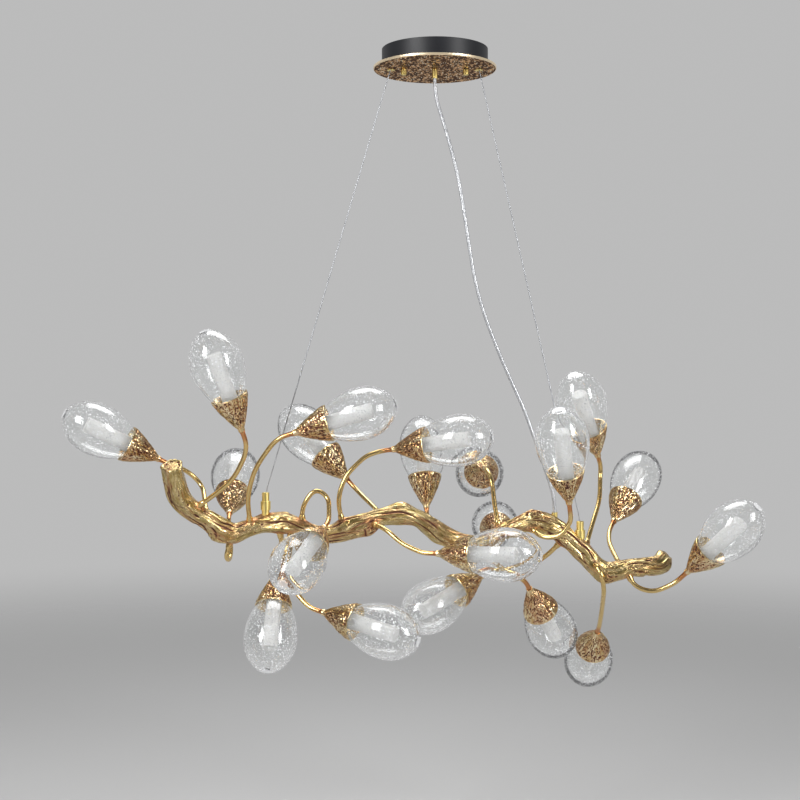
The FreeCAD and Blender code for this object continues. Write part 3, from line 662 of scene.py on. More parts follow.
def carry(mesh: bpy.types.Mesh, name: str, values: np.ndarray) -> None:
    """Store a number or a vector at each point of a mesh.

    Args:
        mesh: The mesh.
        name: The attribute's name.
        values: One number, or three, for each point.
    """
    flat = np.ascontiguousarray(values, dtype=np.float32)
    kind, key = ("FLOAT", "value") if flat.ndim == 1 else ("FLOAT_VECTOR", "vector")
    mesh.attributes.new(name, kind, "POINT").data.foreach_set(key, flat.ravel())


def dress(item: bpy.types.Object, material: bpy.types.Material) -> None:
    """Give an object one material."""
    item.data.materials.clear()
    item.data.materials.append(material)


def dress_nodes(material: bpy.types.Material, *names: str) -> None:
    """Give CAD nodes one material.

    Args:
        material: The material.
        names: The nodes.
    """
    for item in (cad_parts[name] for name in names):
        if not item.material_slots:
            item.data.materials.append(material)
        for slot in item.material_slots:
            slot.material = material


def stand(item: bpy.types.Object, slot: str, *nodes: str) -> bpy.types.Object:
    """Let a piece stand for CAD nodes on the hanging branch.

    Args:
        item: The piece.
        slot: Its material slot; not used.
        nodes: The nodes that it stands for.

    Returns:
        The same piece.
    """
    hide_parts(*nodes)
    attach(item, Body.BRANCH.value)
    return item


def numbered(kind: str, first: int = 1, last: int = 20) -> list[str]:
    """Names of the nodes that are numbered by their light."""
    return [f"{kind}_{number:02d}" for number in range(first, last + 1)]


def wrapped(angles: np.ndarray) -> np.ndarray:
    """Angles brought within half a turn of zero."""
    return (angles + math.pi) % (2 * math.pi) - math.pi


def travelled(line: np.ndarray) -> np.ndarray:
    """Distance of each point along a line."""
    return np.concatenate([[0.0], np.cumsum(np.linalg.norm(np.diff(line, axis=0), axis=1))])


def unit(rows: np.ndarray) -> np.ndarray:
    """Rows of three, each brought to length 1."""
    return rows / np.linalg.norm(rows, axis=1)[:, None]


# Sizes and places of the light
# Its reach, and how far the branch hangs in front of the canopy's centre plane, in millimetres.
REACH = 1200.0
SETBACK = -10.0
# Centre line of the branch: x, y and z as shares of the reach, and a share of its radius, at each station.
BRANCH_SHARES = (
    (-0.362, -0.065, -0.589, 1.05), (-0.360, -0.052, -0.611, 1.14), (-0.354, -0.038, -0.636, 1.14),
    (-0.336, -0.025, -0.656, 1.05), (-0.317, -0.015, -0.669, 1.08), (-0.301, -0.007, -0.682, 1.16),
    (-0.285, 0.000, -0.688, 1.00), (-0.266, 0.003, -0.682, 0.88), (-0.243, 0.005, -0.675, 0.94),
    (-0.217, 0.002, -0.674, 1.06), (-0.192, -0.003, -0.679, 0.95), (-0.169, -0.005, -0.687, 0.91),
    (-0.147, -0.005, -0.688, 0.98), (-0.124, -0.002, -0.681, 1.13), (-0.099, 0.000, -0.672, 1.02),
    (-0.074, 0.003, -0.664, 0.92), (-0.049, 0.005, -0.662, 1.07), (-0.025, 0.007, -0.667, 0.92),
    (-0.004, 0.007, -0.680, 1.01), (0.014, 0.006, -0.691, 1.01), (0.034, 0.007, -0.700, 0.96),
    (0.056, 0.008, -0.703, 0.90), (0.077, 0.007, -0.696, 0.81), (0.096, 0.003, -0.685, 0.77),
    (0.116, 0.000, -0.676, 0.85), (0.137, -0.002, -0.672, 1.02), (0.157, 0.000, -0.676, 1.15),
    (0.178, 0.002, -0.686, 1.08), (0.197, 0.003, -0.701, 1.02), (0.213, 0.003, -0.717, 1.04),
    (0.227, 0.003, -0.732, 1.00), (0.242, 0.002, -0.741, 1.02), (0.259, 0.000, -0.740, 1.00),
    (0.277, 0.001, -0.735, 0.86), (0.298, 0.004, -0.734, 0.94), (0.317, 0.012, -0.734, 1.05),
    (0.331, 0.024, -0.729, 1.03),
)
# Broad knots: station, angle in degrees and height as a share of the radius.
KNOT_SHARES = (
    (0.3, 90.0, 0.18), (1.6, 250.0, 0.22), (5.0, 330.0, 0.30), (6.2, 200.0, 0.18), (9.2, 170.0, 0.20),
    (14.0, 325.0, 0.50), (13.0, 150.0, 0.15), (16.0, 180.0, 0.38), (18.6, 10.0, 0.20),
    (25.0, 190.0, 0.26), (25.8, 165.0, 0.24), (27.9, 180.0, -0.26), (28.6, 30.0, 0.15), (31.0, 5.0, 0.26),
    (33.6, 350.0, 0.20), (36.0, 185.0, 0.40),
)
# Ringed knots, where a twig once grew: station, angle in degrees and size in millimetres.
KNOT_EYES = (
    (4.6, 325.0, 8.5), (14.2, 305.0, 10.0), (10.4, 300.0, 6.0), (25.1, 215.0, 8.0), (31.2, 318.0, 9.0),
    (33.0, 275.0, 6.0), (18.9, 80.0, 9.0), (7.4, 95.0, 8.5), (29.4, 120.0, 8.0), (27.3, 10.0, 7.5),
)
# Long ridges: how many go round, their drift in radians for each station, and their height as a share.
RIDGES_SHARES = ((5, 0.58, 0.055), (3, -0.41, 0.045), (8, 0.90, 0.020))
# Ends of the branch, from rim to middle: width as a share of the end's, and rise as a share of the radius.
SAWN_SHARES = (
    (0.98, 0.06), (0.92, 0.13), (0.84, 0.15), (0.76, 0.11), (0.69, 0.03), (0.60, 0.00), (0.52, 0.05),
    (0.42, 0.01), (0.34, 0.05), (0.22, 0.00), (0.12, 0.04), (0.0, 0.0))
BLUNT_SHARES = (
    (0.985, 0.08), (0.95, 0.16), (0.90, 0.23), (0.83, 0.29), (0.74, 0.33), (0.64, 0.36), (0.53, 0.37),
    (0.42, 0.36), (0.31, 0.33), (0.20, 0.31), (0.10, 0.30), (0.0, 0.30))
# How dark each ring of the sawn end is, from its middle out.
SAWN_MARKS = (0.8, 0.3, 0.7, 0.2, 0.8, 0.2, 0.9, 0.9, 0.3, 0.0, 0.0, 0.0)
# A cup from tip to rim: heights as shares of its length, and widths as shares of its rim.
CUP_SHARES = ((0.0, 0.184), (0.08, 0.186), (0.30, 0.42), (0.62, 0.74), (0.88, 0.945), (1.0, 1.0))
# A globe from neck to far end: heights as shares of its length, and widths as shares of its radius.
GLOBE_SHARES = (
    (0.0, 0.385), (0.066, 0.512), (0.132, 0.625), (0.21, 0.755), (0.30, 0.865), (0.41, 0.955),
    (0.53, 1.0), (0.62, 0.985), (0.71, 0.925), (0.79, 0.825), (0.86, 0.68), (0.915, 0.53),
    (0.955, 0.38), (0.985, 0.21), (1.0, 0.0))
# Heads: each cup's tip, and the way that it points.
HEAD_SHARES = (
    ((-0.390, -0.005, -0.582), (-0.83, -0.35, 0.44)), ((-0.265, -0.075, -0.541), (-0.31, -0.27, 0.91)),
    ((-0.298, 0.055, -0.664), (-0.01, 0.85, 0.53)), ((-0.196, -0.058, -0.544), (0.96, -0.10, 0.28)),
    ((-0.127, 0.071, -0.615), (-0.64, 0.33, 0.69)), ((-0.060, -0.010, -0.568), (0.94, -0.32, 0.14)),
    ((-0.009, 0.158, -0.664), (-0.05, 0.34, 0.94)), ((0.072, 0.058, -0.600), (0.00, 1.00, -0.10)),
    ((0.098, 0.125, -0.699), (0.02, 1.00, 0.05)), ((0.242, 0.079, -0.581), (-0.31, -0.51, 0.80)),
    ((0.184, -0.052, -0.641), (-0.15, -0.45, 0.88)), ((0.001, -0.062, -0.709), (0.93, -0.36, 0.02)),
    ((-0.154, -0.052, -0.674), (-0.32, -0.85, -0.42)), ((-0.223, -0.013, -0.742), (-0.04, -0.55, -0.83)),
    ((-0.155, -0.073, -0.788), (0.88, -0.44, -0.20)), ((0.069, 0.038, -0.752), (-0.75, -0.54, -0.37)),
    ((0.134, 0.008, -0.766), (0.375, 0.575, -0.68)), ((0.243, 0.090, -0.8415), (-0.03, 0.81, -0.59)),
    ((0.267, 0.092, -0.679), (0.45, 0.64, 0.62)), ((0.351, -0.029, -0.739), (0.54, -0.53, 0.66)),
)
# Stems: the station where each leaves the branch, and its bends up to its cup.
BEND_SHARES = (
    (3.8, ((-0.334, 0.035, -0.622), (-0.352, 0.033, -0.603), (-0.372, 0.012, -0.591))),
    (2.8, ((-0.307, -0.043, -0.630), (-0.279, -0.057, -0.608), (-0.262, -0.065, -0.575))),
    (5.9, ((-0.297, -0.002, -0.722), (-0.293, 0.020, -0.729), (-0.293, 0.035, -0.709))),
    (7.2, ((-0.264, -0.022, -0.634), (-0.251, -0.040, -0.593), (-0.226, -0.052, -0.559))),
    (15.0, ((-0.084, 0.030, -0.655), (-0.103, 0.052, -0.639))),
    (12.8, ((-0.138, -0.010, -0.639), (-0.127, -0.010, -0.605), (-0.098, -0.005, -0.577))),
    (17.4, ((-0.012, 0.067, -0.677), (-0.007, 0.125, -0.685))),
    (22.8, ((0.085, 0.002, -0.651), (0.081, 0.003, -0.612), (0.074, 0.022, -0.596))),
    (22.1, ((0.097, 0.047, -0.710), (0.101, 0.087, -0.705))),
    (28.9, ((0.229, 0.037, -0.674), (0.243, 0.067, -0.645), (0.247, 0.090, -0.611))),
    (24.7, ((0.147, -0.028, -0.691), (0.174, -0.037, -0.689), (0.188, -0.042, -0.666))),
    (14.1, ((-0.071, -0.030, -0.677), (-0.047, -0.043, -0.698), (-0.022, -0.053, -0.708))),
    (10.2, ((-0.188, -0.012, -0.648), (-0.169, -0.012, -0.622), (-0.150, -0.010, -0.635))),
    (8.8, ((-0.217, 0.008, -0.706),)),
    (9.6, ((-0.209, -0.028, -0.718), (-0.205, -0.045, -0.750), (-0.182, -0.060, -0.776))),
    (27.4, ((0.161, 0.018, -0.721), (0.131, 0.042, -0.743), (0.096, 0.055, -0.752))),
    (21.4, ((0.083, -0.005, -0.725), (0.101, -0.010, -0.741))),
    (29.7, ((0.232, -0.023, -0.738), (0.238, -0.013, -0.765), (0.242, 0.038, -0.802))),
    (32.4, ((0.260, 0.032, -0.723), (0.255, 0.060, -0.706))),
    (32.6, ((0.281, -0.007, -0.762), (0.308, -0.010, -0.770), (0.334, -0.017, -0.757))),
)


def placed(shares: Point) -> Vector:
    """A point in metres from its shares of the reach."""
    return Vector((shares[0] * REACH, shares[1] * REACH + SETBACK, shares[2] * REACH)) * MM


# Sub-assemblies
@dataclass
class BranchCasting:
    """The cast branch: its centre line, bark relief, knots and cut ends."""

    finish: CastGold
    rings: int = 700
    sides: int = 124
    radius: float = 16.0 * MM
    knot_length: float = 0.55
    knot_angle: float = 34.0
    station_step: float = 24.0 * MM
    groove_depth: float = 2.3 * MM
    grain_height: float = 0.6 * MM
    swell_height: float = 0.9 * MM
    seat_height: float = 2.6 * MM
    seat_width: float = 10.0 * MM
    seat_reach: float = 7.0 * MM
    seat_angle: float = 0.55
    eye_height: float = 1.8 * MM
    well_radius: float = 7.3 * MM
    well_depth: float = 4.0 * MM
    end_round: float = 8.0 * MM
    end_drop: float = 0.42
    flare: float = 0.08
    flare_share: float = 0.4
    seed: int = 7
    slit_count: int = 240
    # From and to, in stations for places and half lengths, and in radians for half widths.
    slit_stations: tuple[float, float] = (0.4, 35.5)
    slit_lengths: tuple[float, float] = (0.45, 1.9)
    slit_widths: tuple[float, float] = (0.09, 0.16)
    pit_lengths: tuple[float, float] = (0.12, 0.30)
    pit_widths: tuple[float, float] = (0.12, 0.20)
    # How long the patterns are along the branch, in millimetres, and how often the finish's goes round.
    bend_run: float = 34.0
    groove_run: float = 50.0
    patch_run: float = 55.0
    grain_run: float = 24.0
    finish_run: float = 26.0
    finish_round: float = 2.4

    def line(self, stations: np.ndarray) -> tuple[np.ndarray, np.ndarray]:
        """Centre points and radii on a smooth curve through the listed stations.

        Args:
            stations: Places along the branch, counted in listed stations.

        Returns:
            Centres in metres and radii in metres.
        """
        table = np.array(BRANCH_SHARES)
        listed = table[:, :3] * REACH * MM
        listed[:, 1] += SETBACK * MM
        known = np.column_stack([listed, table[:, 3] * self.radius])
        last = len(known) - 1
        index = np.clip(stations.astype(int), 0, last - 1)
        part = (stations - index)[:, None]
        before, here, after, beyond = (known[np.clip(index + step, 0, last)] for step in (-1, 0, 1, 2))
        spread = (
            before * (-0.5 * part + part ** 2 - 0.5 * part ** 3)
            + here * (1 - 2.5 * part ** 2 + 1.5 * part ** 3)
            + after * (0.5 * part + 2 * part ** 2 - 1.5 * part ** 3)
            + beyond * (-0.5 * part ** 2 + 0.5 * part ** 3))
        return spread[:, :3], spread[:, 3]

    def relief(self, stations: np.ndarray, angles: np.ndarray, radii: np.ndarray) -> np.ndarray:
        """Radius of the casting with its broad ridges and knots, before the grooves.

        Args:
            stations: Station of each ring.
            angles: Angle of each side.
            radii: Plain radius of each ring.

        Returns:
            Radius for each ring and side.
        """
        share = np.ones((len(stations), len(angles)))
        for count, drift, height in RIDGES_SHARES:
            share += height * np.cos(angles[None] * count + drift * stations[:, None])
        grown = share * radii[:, None]
        for knot, turn, height in KNOT_SHARES:
            off = (np.degrees(angles)[None] - turn + 180.0) % 360.0 - 180.0
            away = ((stations[:, None] - knot) / self.knot_length) ** 2
            grown += self.radius * height * np.exp(-away - (off / self.knot_angle) ** 2)
        return grown

    def seats(self, centres: np.ndarray, down: np.ndarray, rear: np.ndarray) -> list[tuple[float, float]]:
        """Where the stems and the wire grippers stand on the casting.

        Args:
            centres: Centre points of all rings.
            down: Each ring's first direction.
            rear: Each ring's second direction.

        Returns:
            Ring number and angle in radians of each seat.
        """
        found = []
        for name in [*numbered("stem"), "gripper_bodies"]:
            spots = points_of(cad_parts[name].data)
            for side in (spots[spots[:, 0] < 0], spots[spots[:, 0] >= 0]):
                gaps = np.linalg.norm(side[:, None] - centres[None, ::4], axis=2)
                near = side[gaps.min(axis=1) < self.radius + self.seat_reach]
                if not len(near):
                    continue
                middle = near.mean(axis=0)
                ring = int(np.linalg.norm(centres - middle, axis=1).argmin())
                away = middle - centres[ring]
                found.append((ring, math.atan2(away @ rear[ring], away @ down[ring])))
        return found

    def slits(self, stations: np.ndarray, angles: np.ndarray) -> np.ndarray:
        """Long narrow hollows that run along the bark, every third of them a short pit.

        Args:
            stations: Station of each ring.
            angles: Angle of each side.

        Returns:
            Depth from 0 to 1 for each ring and side.
        """
        chance = np.random.default_rng(self.seed)
        depth = np.zeros((len(stations), len(angles)))
        for number in range(self.slit_count):
            pit = number % 3 == 0
            station, turn = chance.uniform(*self.slit_stations), chance.uniform(-math.pi, math.pi)
            half_length = chance.uniform(*(self.pit_lengths if pit else self.slit_lengths))
            half_width = chance.uniform(*(self.pit_widths if pit else self.slit_widths))
            drift, deep = chance.uniform(-0.22, 0.22), chance.uniform(0.5, 1.0)
            off = (stations - station)[:, None]
            sway = 0.09 * np.sin(off * 3.5 + turn)
            side = wrapped(angles[None] - turn - drift * off - sway)
            taper = np.clip(1.0 - (np.abs(off) / half_length) ** 2.2, 0.0, 1.0)
            width = half_width * (0.30 + 0.70 * taper)
            depth = np.maximum(depth, deep * taper * np.exp(-(side / width) ** 2))
        return depth

    def eyes(self, stations: np.ndarray, angles: np.ndarray) -> tuple[np.ndarray, np.ndarray]:
        """Ringed knots, where a twig once grew.

        Args:
            stations: Station of each ring.
            angles: Angle of each side.

        Returns:
            Height from 0 to 1 and groove from 0 to 1.
        """
        height, groove = (np.zeros((len(stations), len(angles))) for _ in range(2))
        for station, turn, size in KNOT_EYES:
            off = (stations - station)[:, None] * self.station_step * 0.75
            across = wrapped(angles[None] - math.radians(turn)) * self.radius
            way = np.arctan2(across, off) + turn
            gap = np.hypot(off, across) / (size * MM)
            gap *= 1.0 + 0.16 * np.sin(2 * way) + 0.10 * np.sin(5 * way + 1.0)
            worn = 0.55 + 0.45 * np.sin(3 * way + station)
            height = np.maximum(height, np.exp(-(gap / 0.95) ** 4))
            # Depth, place and width of the outer ring, the inner ring and the middle.
            for deep, ring, width in ((worn, 0.74, 0.17), (1.1 - worn, 0.40, 0.11), (0.9, 0.0, 0.17)):
                groove = np.maximum(groove, deep * np.exp(-((gap - ring) / width) ** 2))
        return height, groove

    def bark(self, travel: np.ndarray, angles: np.ndarray) -> tuple[np.ndarray, np.ndarray, np.ndarray]:
        """Wandering grooves, fine grain and broad swells of the bark.

        Args:
            travel: Distance of each ring along the branch in millimetres.
            angles: Angle of each side.

        Returns:
            Groove from 0 to 1, grain from -1 to 1 and swell from -1 to 1.
        """
        groove, grain, swell = (np.zeros((len(travel), len(angles))) for _ in range(3))
        for ring, place in enumerate(travel):
            for side, angle in enumerate(angles):
                across, up = math.cos(angle), math.sin(angle)
                bend = noise.noise(Vector((place / self.bend_run, across * 1.1, up * 1.1 + 7)))
                line = noise.noise(Vector((
                    place / self.groove_run + bend * 0.5, across * 2.6 + bend, up * 2.6)))
                patch = noise.noise(Vector((place / self.patch_run, across * 0.9 + 11, up * 0.9)))
                mask = min(1.0, max(0.0, (patch + 0.12) / 0.35))
                groove[ring, side] = math.exp(-(line / 0.07) ** 2) * mask
                grain[ring, side] = noise.noise(Vector((
                    place / self.grain_run + bend, across * 7.0 + bend, up * 7.0 + 3)))
                swell[ring, side] = bend
        return groove, grain, swell

    def capped(self, points: np.ndarray, centres: np.ndarray, run: np.ndarray) -> np.ndarray:
        """Close the near end with a lip round a ringed sawn face, and the far end with a blunt dome.

        Args:
            points: Rings of the bark.
            centres: Their centre points.
            run: Direction of the branch at each ring.

        Returns:
            All rings.
        """
        ends = []
        for ring, way, rows in ((0, -1.0, SAWN_SHARES), (-1, 1.0, BLUNT_SHARES)):
            around = points[ring] - centres[ring]
            even = unit(around) * np.linalg.norm(around, axis=1).mean()
            ends.append(np.array([
                centres[ring] + (around * share + even * (1.0 - share)) * share
                + run[ring] * way * rise * self.radius
                for share, rise in rows]))
        return np.concatenate([ends[0][::-1], points, ends[1]])

    def clear_wells(self, points: np.ndarray) -> None:
        """Sink the bark inside the wire grippers' bodies, so that their sleeves can move down.

        Args:
            points: Rings of the bark, changed in place.
        """
        for name in ("gripper_sleeve_left", "gripper_sleeve_right"):
            spots = points_of(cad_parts[name].data)
            low, high = spots.min(axis=0), spots.max(axis=0)
            middle = (low + high) / 2
            floor = low[2] - self.well_depth
            inside = np.hypot(points[..., 0] - middle[0], points[..., 1] - middle[1]) < self.well_radius
            points[..., 2] = np.where(inside, np.minimum(points[..., 2], floor), points[..., 2])

    def build(self) -> bpy.types.Object:
        """Make the casting and stand it for its CAD node.

        Returns:
            The finished piece.
        """
        stations = np.linspace(0, len(BRANCH_SHARES) - 1, self.rings)
        centres, radii = self.line(stations)
        run = unit(np.gradient(centres, axis=0))
        down = unit(np.cross(np.array([0.0, 1.0, 0.0]), run))
        rear = np.cross(run, down)
        angles = np.linspace(0, 2 * math.pi, self.sides, endpoint=False)
        along = travelled(centres)
        groove, grain, swell = self.bark(along / MM, angles)
        blush = np.zeros_like(groove)
        for ring, turn in self.seats(centres, down, rear):
            off = (along - along[ring])[:, None] / self.seat_width
            side = wrapped(angles[None] - turn)
            blush = np.maximum(blush, np.exp(-off ** 2 - (side / self.seat_angle) ** 2))
        knot, rings = self.eyes(stations, angles)
        cut = np.maximum(groove * 0.75, self.slits(stations, angles)) * (1.0 - blush * 0.85) * (1.0 - knot)
        cut = np.maximum(cut, rings * 0.9)
        reach = (
            self.relief(stations, angles, radii) - self.groove_depth * cut
            + self.grain_height * grain * (1.0 - 0.6 * cut)
            + self.swell_height * swell + self.seat_height * blush + self.eye_height * knot)
        far_end = np.clip((along - along[-1] + self.end_round) / self.end_round, 0.0, 1.0)
        rounding = np.sqrt(1.0 - self.end_drop * far_end ** 2)
        flare = 1.0 + self.flare * np.exp(-(along / (self.flare_share * self.end_round)) ** 2)
        reach *= (rounding * flare)[:, None]
        across, up = np.cos(angles)[None], np.sin(angles)[None]
        points = (
            centres[:, None] + down[:, None] * (reach * across)[..., None]
            + rear[:, None] * (reach * up)[..., None])
        self.clear_wells(points)
        mesh = grid_mesh("branch_casting", self.capped(points, centres, run))
        extra = len(SAWN_SHARES)
        pad = ((extra, extra), (0, 0))
        marks = np.pad(np.clip(cut - grain * 0.25, 0.0, 1.0), pad)
        spokes = 0.5 + 0.5 * np.sin(angles * 11 + 2.0 * np.sin(angles * 3))
        marks[:extra] = np.array(SAWN_MARKS)[:, None] * (0.45 + 0.55 * spokes[None])
        travel = np.pad(along, (extra, extra), mode="edge")[:, None] / MM
        pattern = np.stack(np.broadcast_arrays(
            travel / self.finish_run, across * self.finish_round, up * self.finish_round), axis=-1)
        carry(mesh, "groove", marks.ravel())
        carry(mesh, "blush", np.pad(blush, pad).ravel())
        carry(mesh, "pattern", pattern.reshape(-1, 3))
        tidy_mesh(mesh, 70.0)
        item = new_object("branch_casting", mesh)
        dress(item, self.finish.material())
        return stand(item, "cast_gold", "branch")


@dataclass
class LightHeads:
    """The twenty cups, globes, frosted tubes and lamp bases, repeated on their axes."""

    gold: CastGold
    glass: SeededGlass
    frost: FrostedTube
    lamp: Lacquer
    cup_length: float = 62.0 * MM
    cup_rim: float = 31.0 * MM
    cup_wall: float = 2.2 * MM
    cup_sides: int = 136
    cup_rows: int = 58
    lip: float = 0.5 * MM
    lip_fade: float = 1.6 * MM
    tip_plain: float = 2.0 * MM
    tip_fade: float = 12.0 * MM
    collar_length: float = 5.0 * MM
    bore: float = 4.1 * MM
    tube_start: float = 32.0 * MM
    tube_radius: float = 13.0 * MM
    tube_length: float = 106.0 * MM
    tube_wall: float = 1.2 * MM
    tube_round: float = 2.2 * MM
    glass_radius: float = 45.0 * MM
    glass_length: float = 136.0 * MM
    glass_start: float = 44.0 * MM
    glass_wall: float = 3.0 * MM
    glass_end: float = 6.0 * MM
    glass_rows: int = 34
    glass_evening: int = 2
    ground_share: float = 0.986
    round_sides: int = 48
    groove_depth: float = 1.3 * MM
    groove_pitch: float = 4.6 * MM
    groove_run: float = 24.0 * MM
    groove_wave: float = 8.0 * MM
    groove_fan: float = 0.35

    def spots(self, heads: tuple) -> bpy.types.Mesh:
        """Points at the cups' tips that carry the way each head points.

        Args:
            heads: The heads' tips and ways.

        Returns:
            A mesh of bare points.
        """
        mesh = bpy.data.meshes.new("head_spots")
        mesh.from_pydata([placed(tip) for tip, way in heads], [], [])
        carry(mesh, "way", np.array([Vector(way).normalized() for tip, way in heads]))
        return mesh

    def repeated(self, recipe: Recipe, template: bpy.types.Mesh) -> Term:
        """Add the nodes that stand a template on every spot.

        Args:
            recipe: The tree being built.
            template: One head's piece, its tip at the origin and +Z along its axis.

        Returns:
            The realized copies, with their local place and number as attributes.
        """
        piece = recipe.given("Piece", "Object", new_object("template", template))
        source = recipe.out("GeometryNodeObjectInfo", None, {"Object": piece}, "Geometry")
        local = recipe.stored(source, "pattern", recipe.out("GeometryNodeInputPosition"), "FLOAT_VECTOR")
        turn = recipe.out("FunctionNodeAlignRotationToVector", {"axis": "Z"}, {
            "Vector": recipe.named("way", "FLOAT_VECTOR")})
        copies = recipe.out("GeometryNodeInstanceOnPoints", None, {
            "Points": Term(recipe, recipe.entry.outputs[0]), "Instance": local, "Rotation": turn})
        counted = recipe.stored(copies, "copy", recipe.out("GeometryNodeInputIndex"), "FLOAT", "INSTANCE")
        return recipe.out("GeometryNodeRealizeInstances", None, {"Geometry": counted})

    def finish(
            self, recipe: Recipe, name: str, slot: str, nodes: list[str],
            heads: tuple = HEAD_SHARES) -> bpy.types.Object:
        """Cook a tree over the heads' spots and put the piece on the branch.

        Args:
            recipe: The closed tree.
            name: The piece's name.
            slot: Its material slot.
            nodes: The nodes that it stands for.
            heads: The heads that it covers.

        Returns:
            The finished piece.
        """
        item = recipe.cook(self.spots(heads), name)
        bpy.data.objects.remove(bpy.data.objects["template"])
        return stand(item, slot, *nodes)

    def cup_template(self) -> bpy.types.Mesh:
        """One plain cup with a rolled lip, its outside marked for the bark.

        Returns:
            The cup's mesh.
        """
        heights = np.linspace(0, 1, self.cup_rows)
        widths = np.interp(heights, *np.array(CUP_SHARES).T)
        inside = self.cup_rim - self.cup_wall
        mesh = turned_mesh("cup", [
            *((self.cup_rim * wide, self.cup_length * high) for high, wide in zip(heights, widths)),
            (self.cup_rim - self.cup_wall * 0.2, self.cup_length + self.lip),
            (self.cup_rim - self.cup_wall * 0.7, self.cup_length + self.lip),
            (inside, self.cup_length),
            ((inside + self.bore) / 2, (self.cup_length + self.collar_length) / 2),
            (self.bore, self.collar_length), (self.bore, 0.0)], self.cup_sides)
        spots = points_of(mesh)
        high = (spots[:, 2] - self.collar_length) / (self.cup_length - self.collar_length)
        inner = self.bore + (inside - self.bore) * np.clip(high, 0.0, 1.0)
        outer = np.clip((np.hypot(spots[:, 0], spots[:, 1]) - inner) / self.cup_wall * 2.0 - 1.0, 0.0, 1.0)
        lip = np.clip((self.cup_length - spots[:, 2]) / self.lip_fade - 0.4, 0.0, 1.0)
        tip = np.clip((spots[:, 2] - self.tip_plain) / self.tip_fade, 0.15, 1.0)
        carry(mesh, "bark", outer * lip * tip)
        return mesh

    def cups(self, first: int, last: int) -> bpy.types.Object:
        """Acorn-like cups with islands of bark between wandering grooves.

        Args:
            first: Number of the first cup.
            last: Number of the last cup.

        Returns:
            The finished piece.
        """
        recipe = Recipe("cups")
        depth = recipe.given("Groove depth", "Float", self.groove_depth)
        pitch = recipe.given("Groove pitch", "Float", self.groove_pitch)
        seed = recipe.given("Seed", "Int", 5 + first)
        real = self.repeated(recipe, self.cup_template())
        pattern, bark = recipe.named("pattern", "FLOAT_VECTOR"), recipe.named("bark")
        shift = (recipe.named("copy") + seed) * 3.7
        shifts = recipe.out("ShaderNodeCombineXYZ", None, {"X": shift, "Y": shift, "Z": shift})
        flat = pattern.vector("MULTIPLY", (1.0, 1.0, 0.0))
        upward = pattern.vector("MULTIPLY", (0.0, 0.0, 1.0))
        fan = (flat.length() / self.cup_rim) ** self.groove_fan
        around = flat.vector("NORMALIZE").scaled(fan * self.cup_rim / pitch)
        moved, waved = (
            around.vector("ADD", upward.scaled(1 / run)).vector("ADD", shifts)
            for run in (self.groove_run, self.groove_wave))
        wander = recipe.out("ShaderNodeTexNoise", None, {"Vector": waved, "Scale": 0.8, "Detail": 0.0}, 1)
        bent = moved.vector("ADD", wander.vector("SUBTRACT", (0.5, 0.5, 0.5)).scaled(1.9))
        islands = recipe.out("ShaderNodeTexVoronoi", {"feature": "DISTANCE_TO_EDGE"}, {
            "Vector": bent, "Scale": 1.0}, "Distance")
        carved = islands.step(0.01, 0.14, 1.0, 0.0) * bark
        raised = islands.step(0.05, 0.34) * bark * 0.45
        normal = recipe.out("GeometryNodeInputNormal")
        shaped = recipe.out("GeometryNodeSetPosition", None, {
            "Geometry": real, "Offset": normal.scaled((raised - carved) * depth)})
        kept = recipe.stored(shaped, "groove", carved)
        recipe.close(recipe.stored(kept, "pattern", moved.scaled(0.45), "FLOAT_VECTOR"), self.gold.material())
        return self.finish(recipe, f"bark_cups_{first:02d}", "cast_gold", numbered("cup", first, last),
                           HEAD_SHARES[first - 1:last])

    def plain(
            self, name: str, rows: list[tuple[float, float]], material: bpy.types.Material,
            slot: str, node: str) -> bpy.types.Object:
        """Repeat one revolved outline on every head.

        Args:
            name: The piece's name.
            rows: The outline's radii and heights.
            material: The piece's material.
            slot: Its material slot.
            node: The node that it stands for.

        Returns:
            The finished piece.
        """
        recipe = Recipe(name)
        recipe.close(self.repeated(recipe, turned_mesh(name, rows, self.round_sides)), material)
        return self.finish(recipe, name, slot, [node])

    def outline(self, radius: float, length: float) -> list[tuple[float, float]]:
        """The globe's outline from neck to far end.

        Args:
            radius: Widest radius.
            length: Neck to far end.

        Returns:
            Radius and height rows.
        """
        known = np.array(GLOBE_SHARES)
        turn = travelled(known)
        steps = np.linspace(0, turn[-1], self.glass_rows)
        high, wide = (np.interp(steps, turn, known[:, axis]) for axis in range(2))
        for _ in range(self.glass_evening):
            for values in (high, wide):
                values[1:-1] = (values[:-2] + 2 * values[1:-1] + values[2:]) / 4
        high = np.minimum(high, self.ground_share)
        return [(radius * w, self.glass_start + length * h) for w, h in zip(wide, high)]

    def globes(self) -> bpy.types.Object:
        """Blown globes with a wall and a thick far end.

        Returns:
            The finished piece.
        """
        outer = self.outline(self.glass_radius, self.glass_length)
        inner = self.outline(self.glass_radius - self.glass_wall, self.glass_length - self.glass_end)
        return self.plain("glass_set", outer + inner[::-1], self.glass.material(), "glass", "glass_globes")

    def tubes(self) -> bpy.types.Object:
        """Frosted tubes with rounded far ends.

        Returns:
            The finished piece.
        """
        base, radius, inside = self.tube_start, self.tube_radius, self.tube_radius - self.tube_wall
        top, floor = base + self.tube_length, base + self.tube_length - self.tube_wall
        rows = [(radius, base), (radius, base + self.tube_length / 2)]
        for turn in (math.radians(15 * step) for step in range(7)):
            rows.append((
                radius - self.tube_round * (1 - math.cos(turn)),
                top - self.tube_round * (1 - math.sin(turn))))
        rows += [(0.0, top), (0.0, floor), (inside, floor), (inside, base)]
        return self.plain("frosted_set", rows, self.frost.material(), "frosted", "led_tubes")

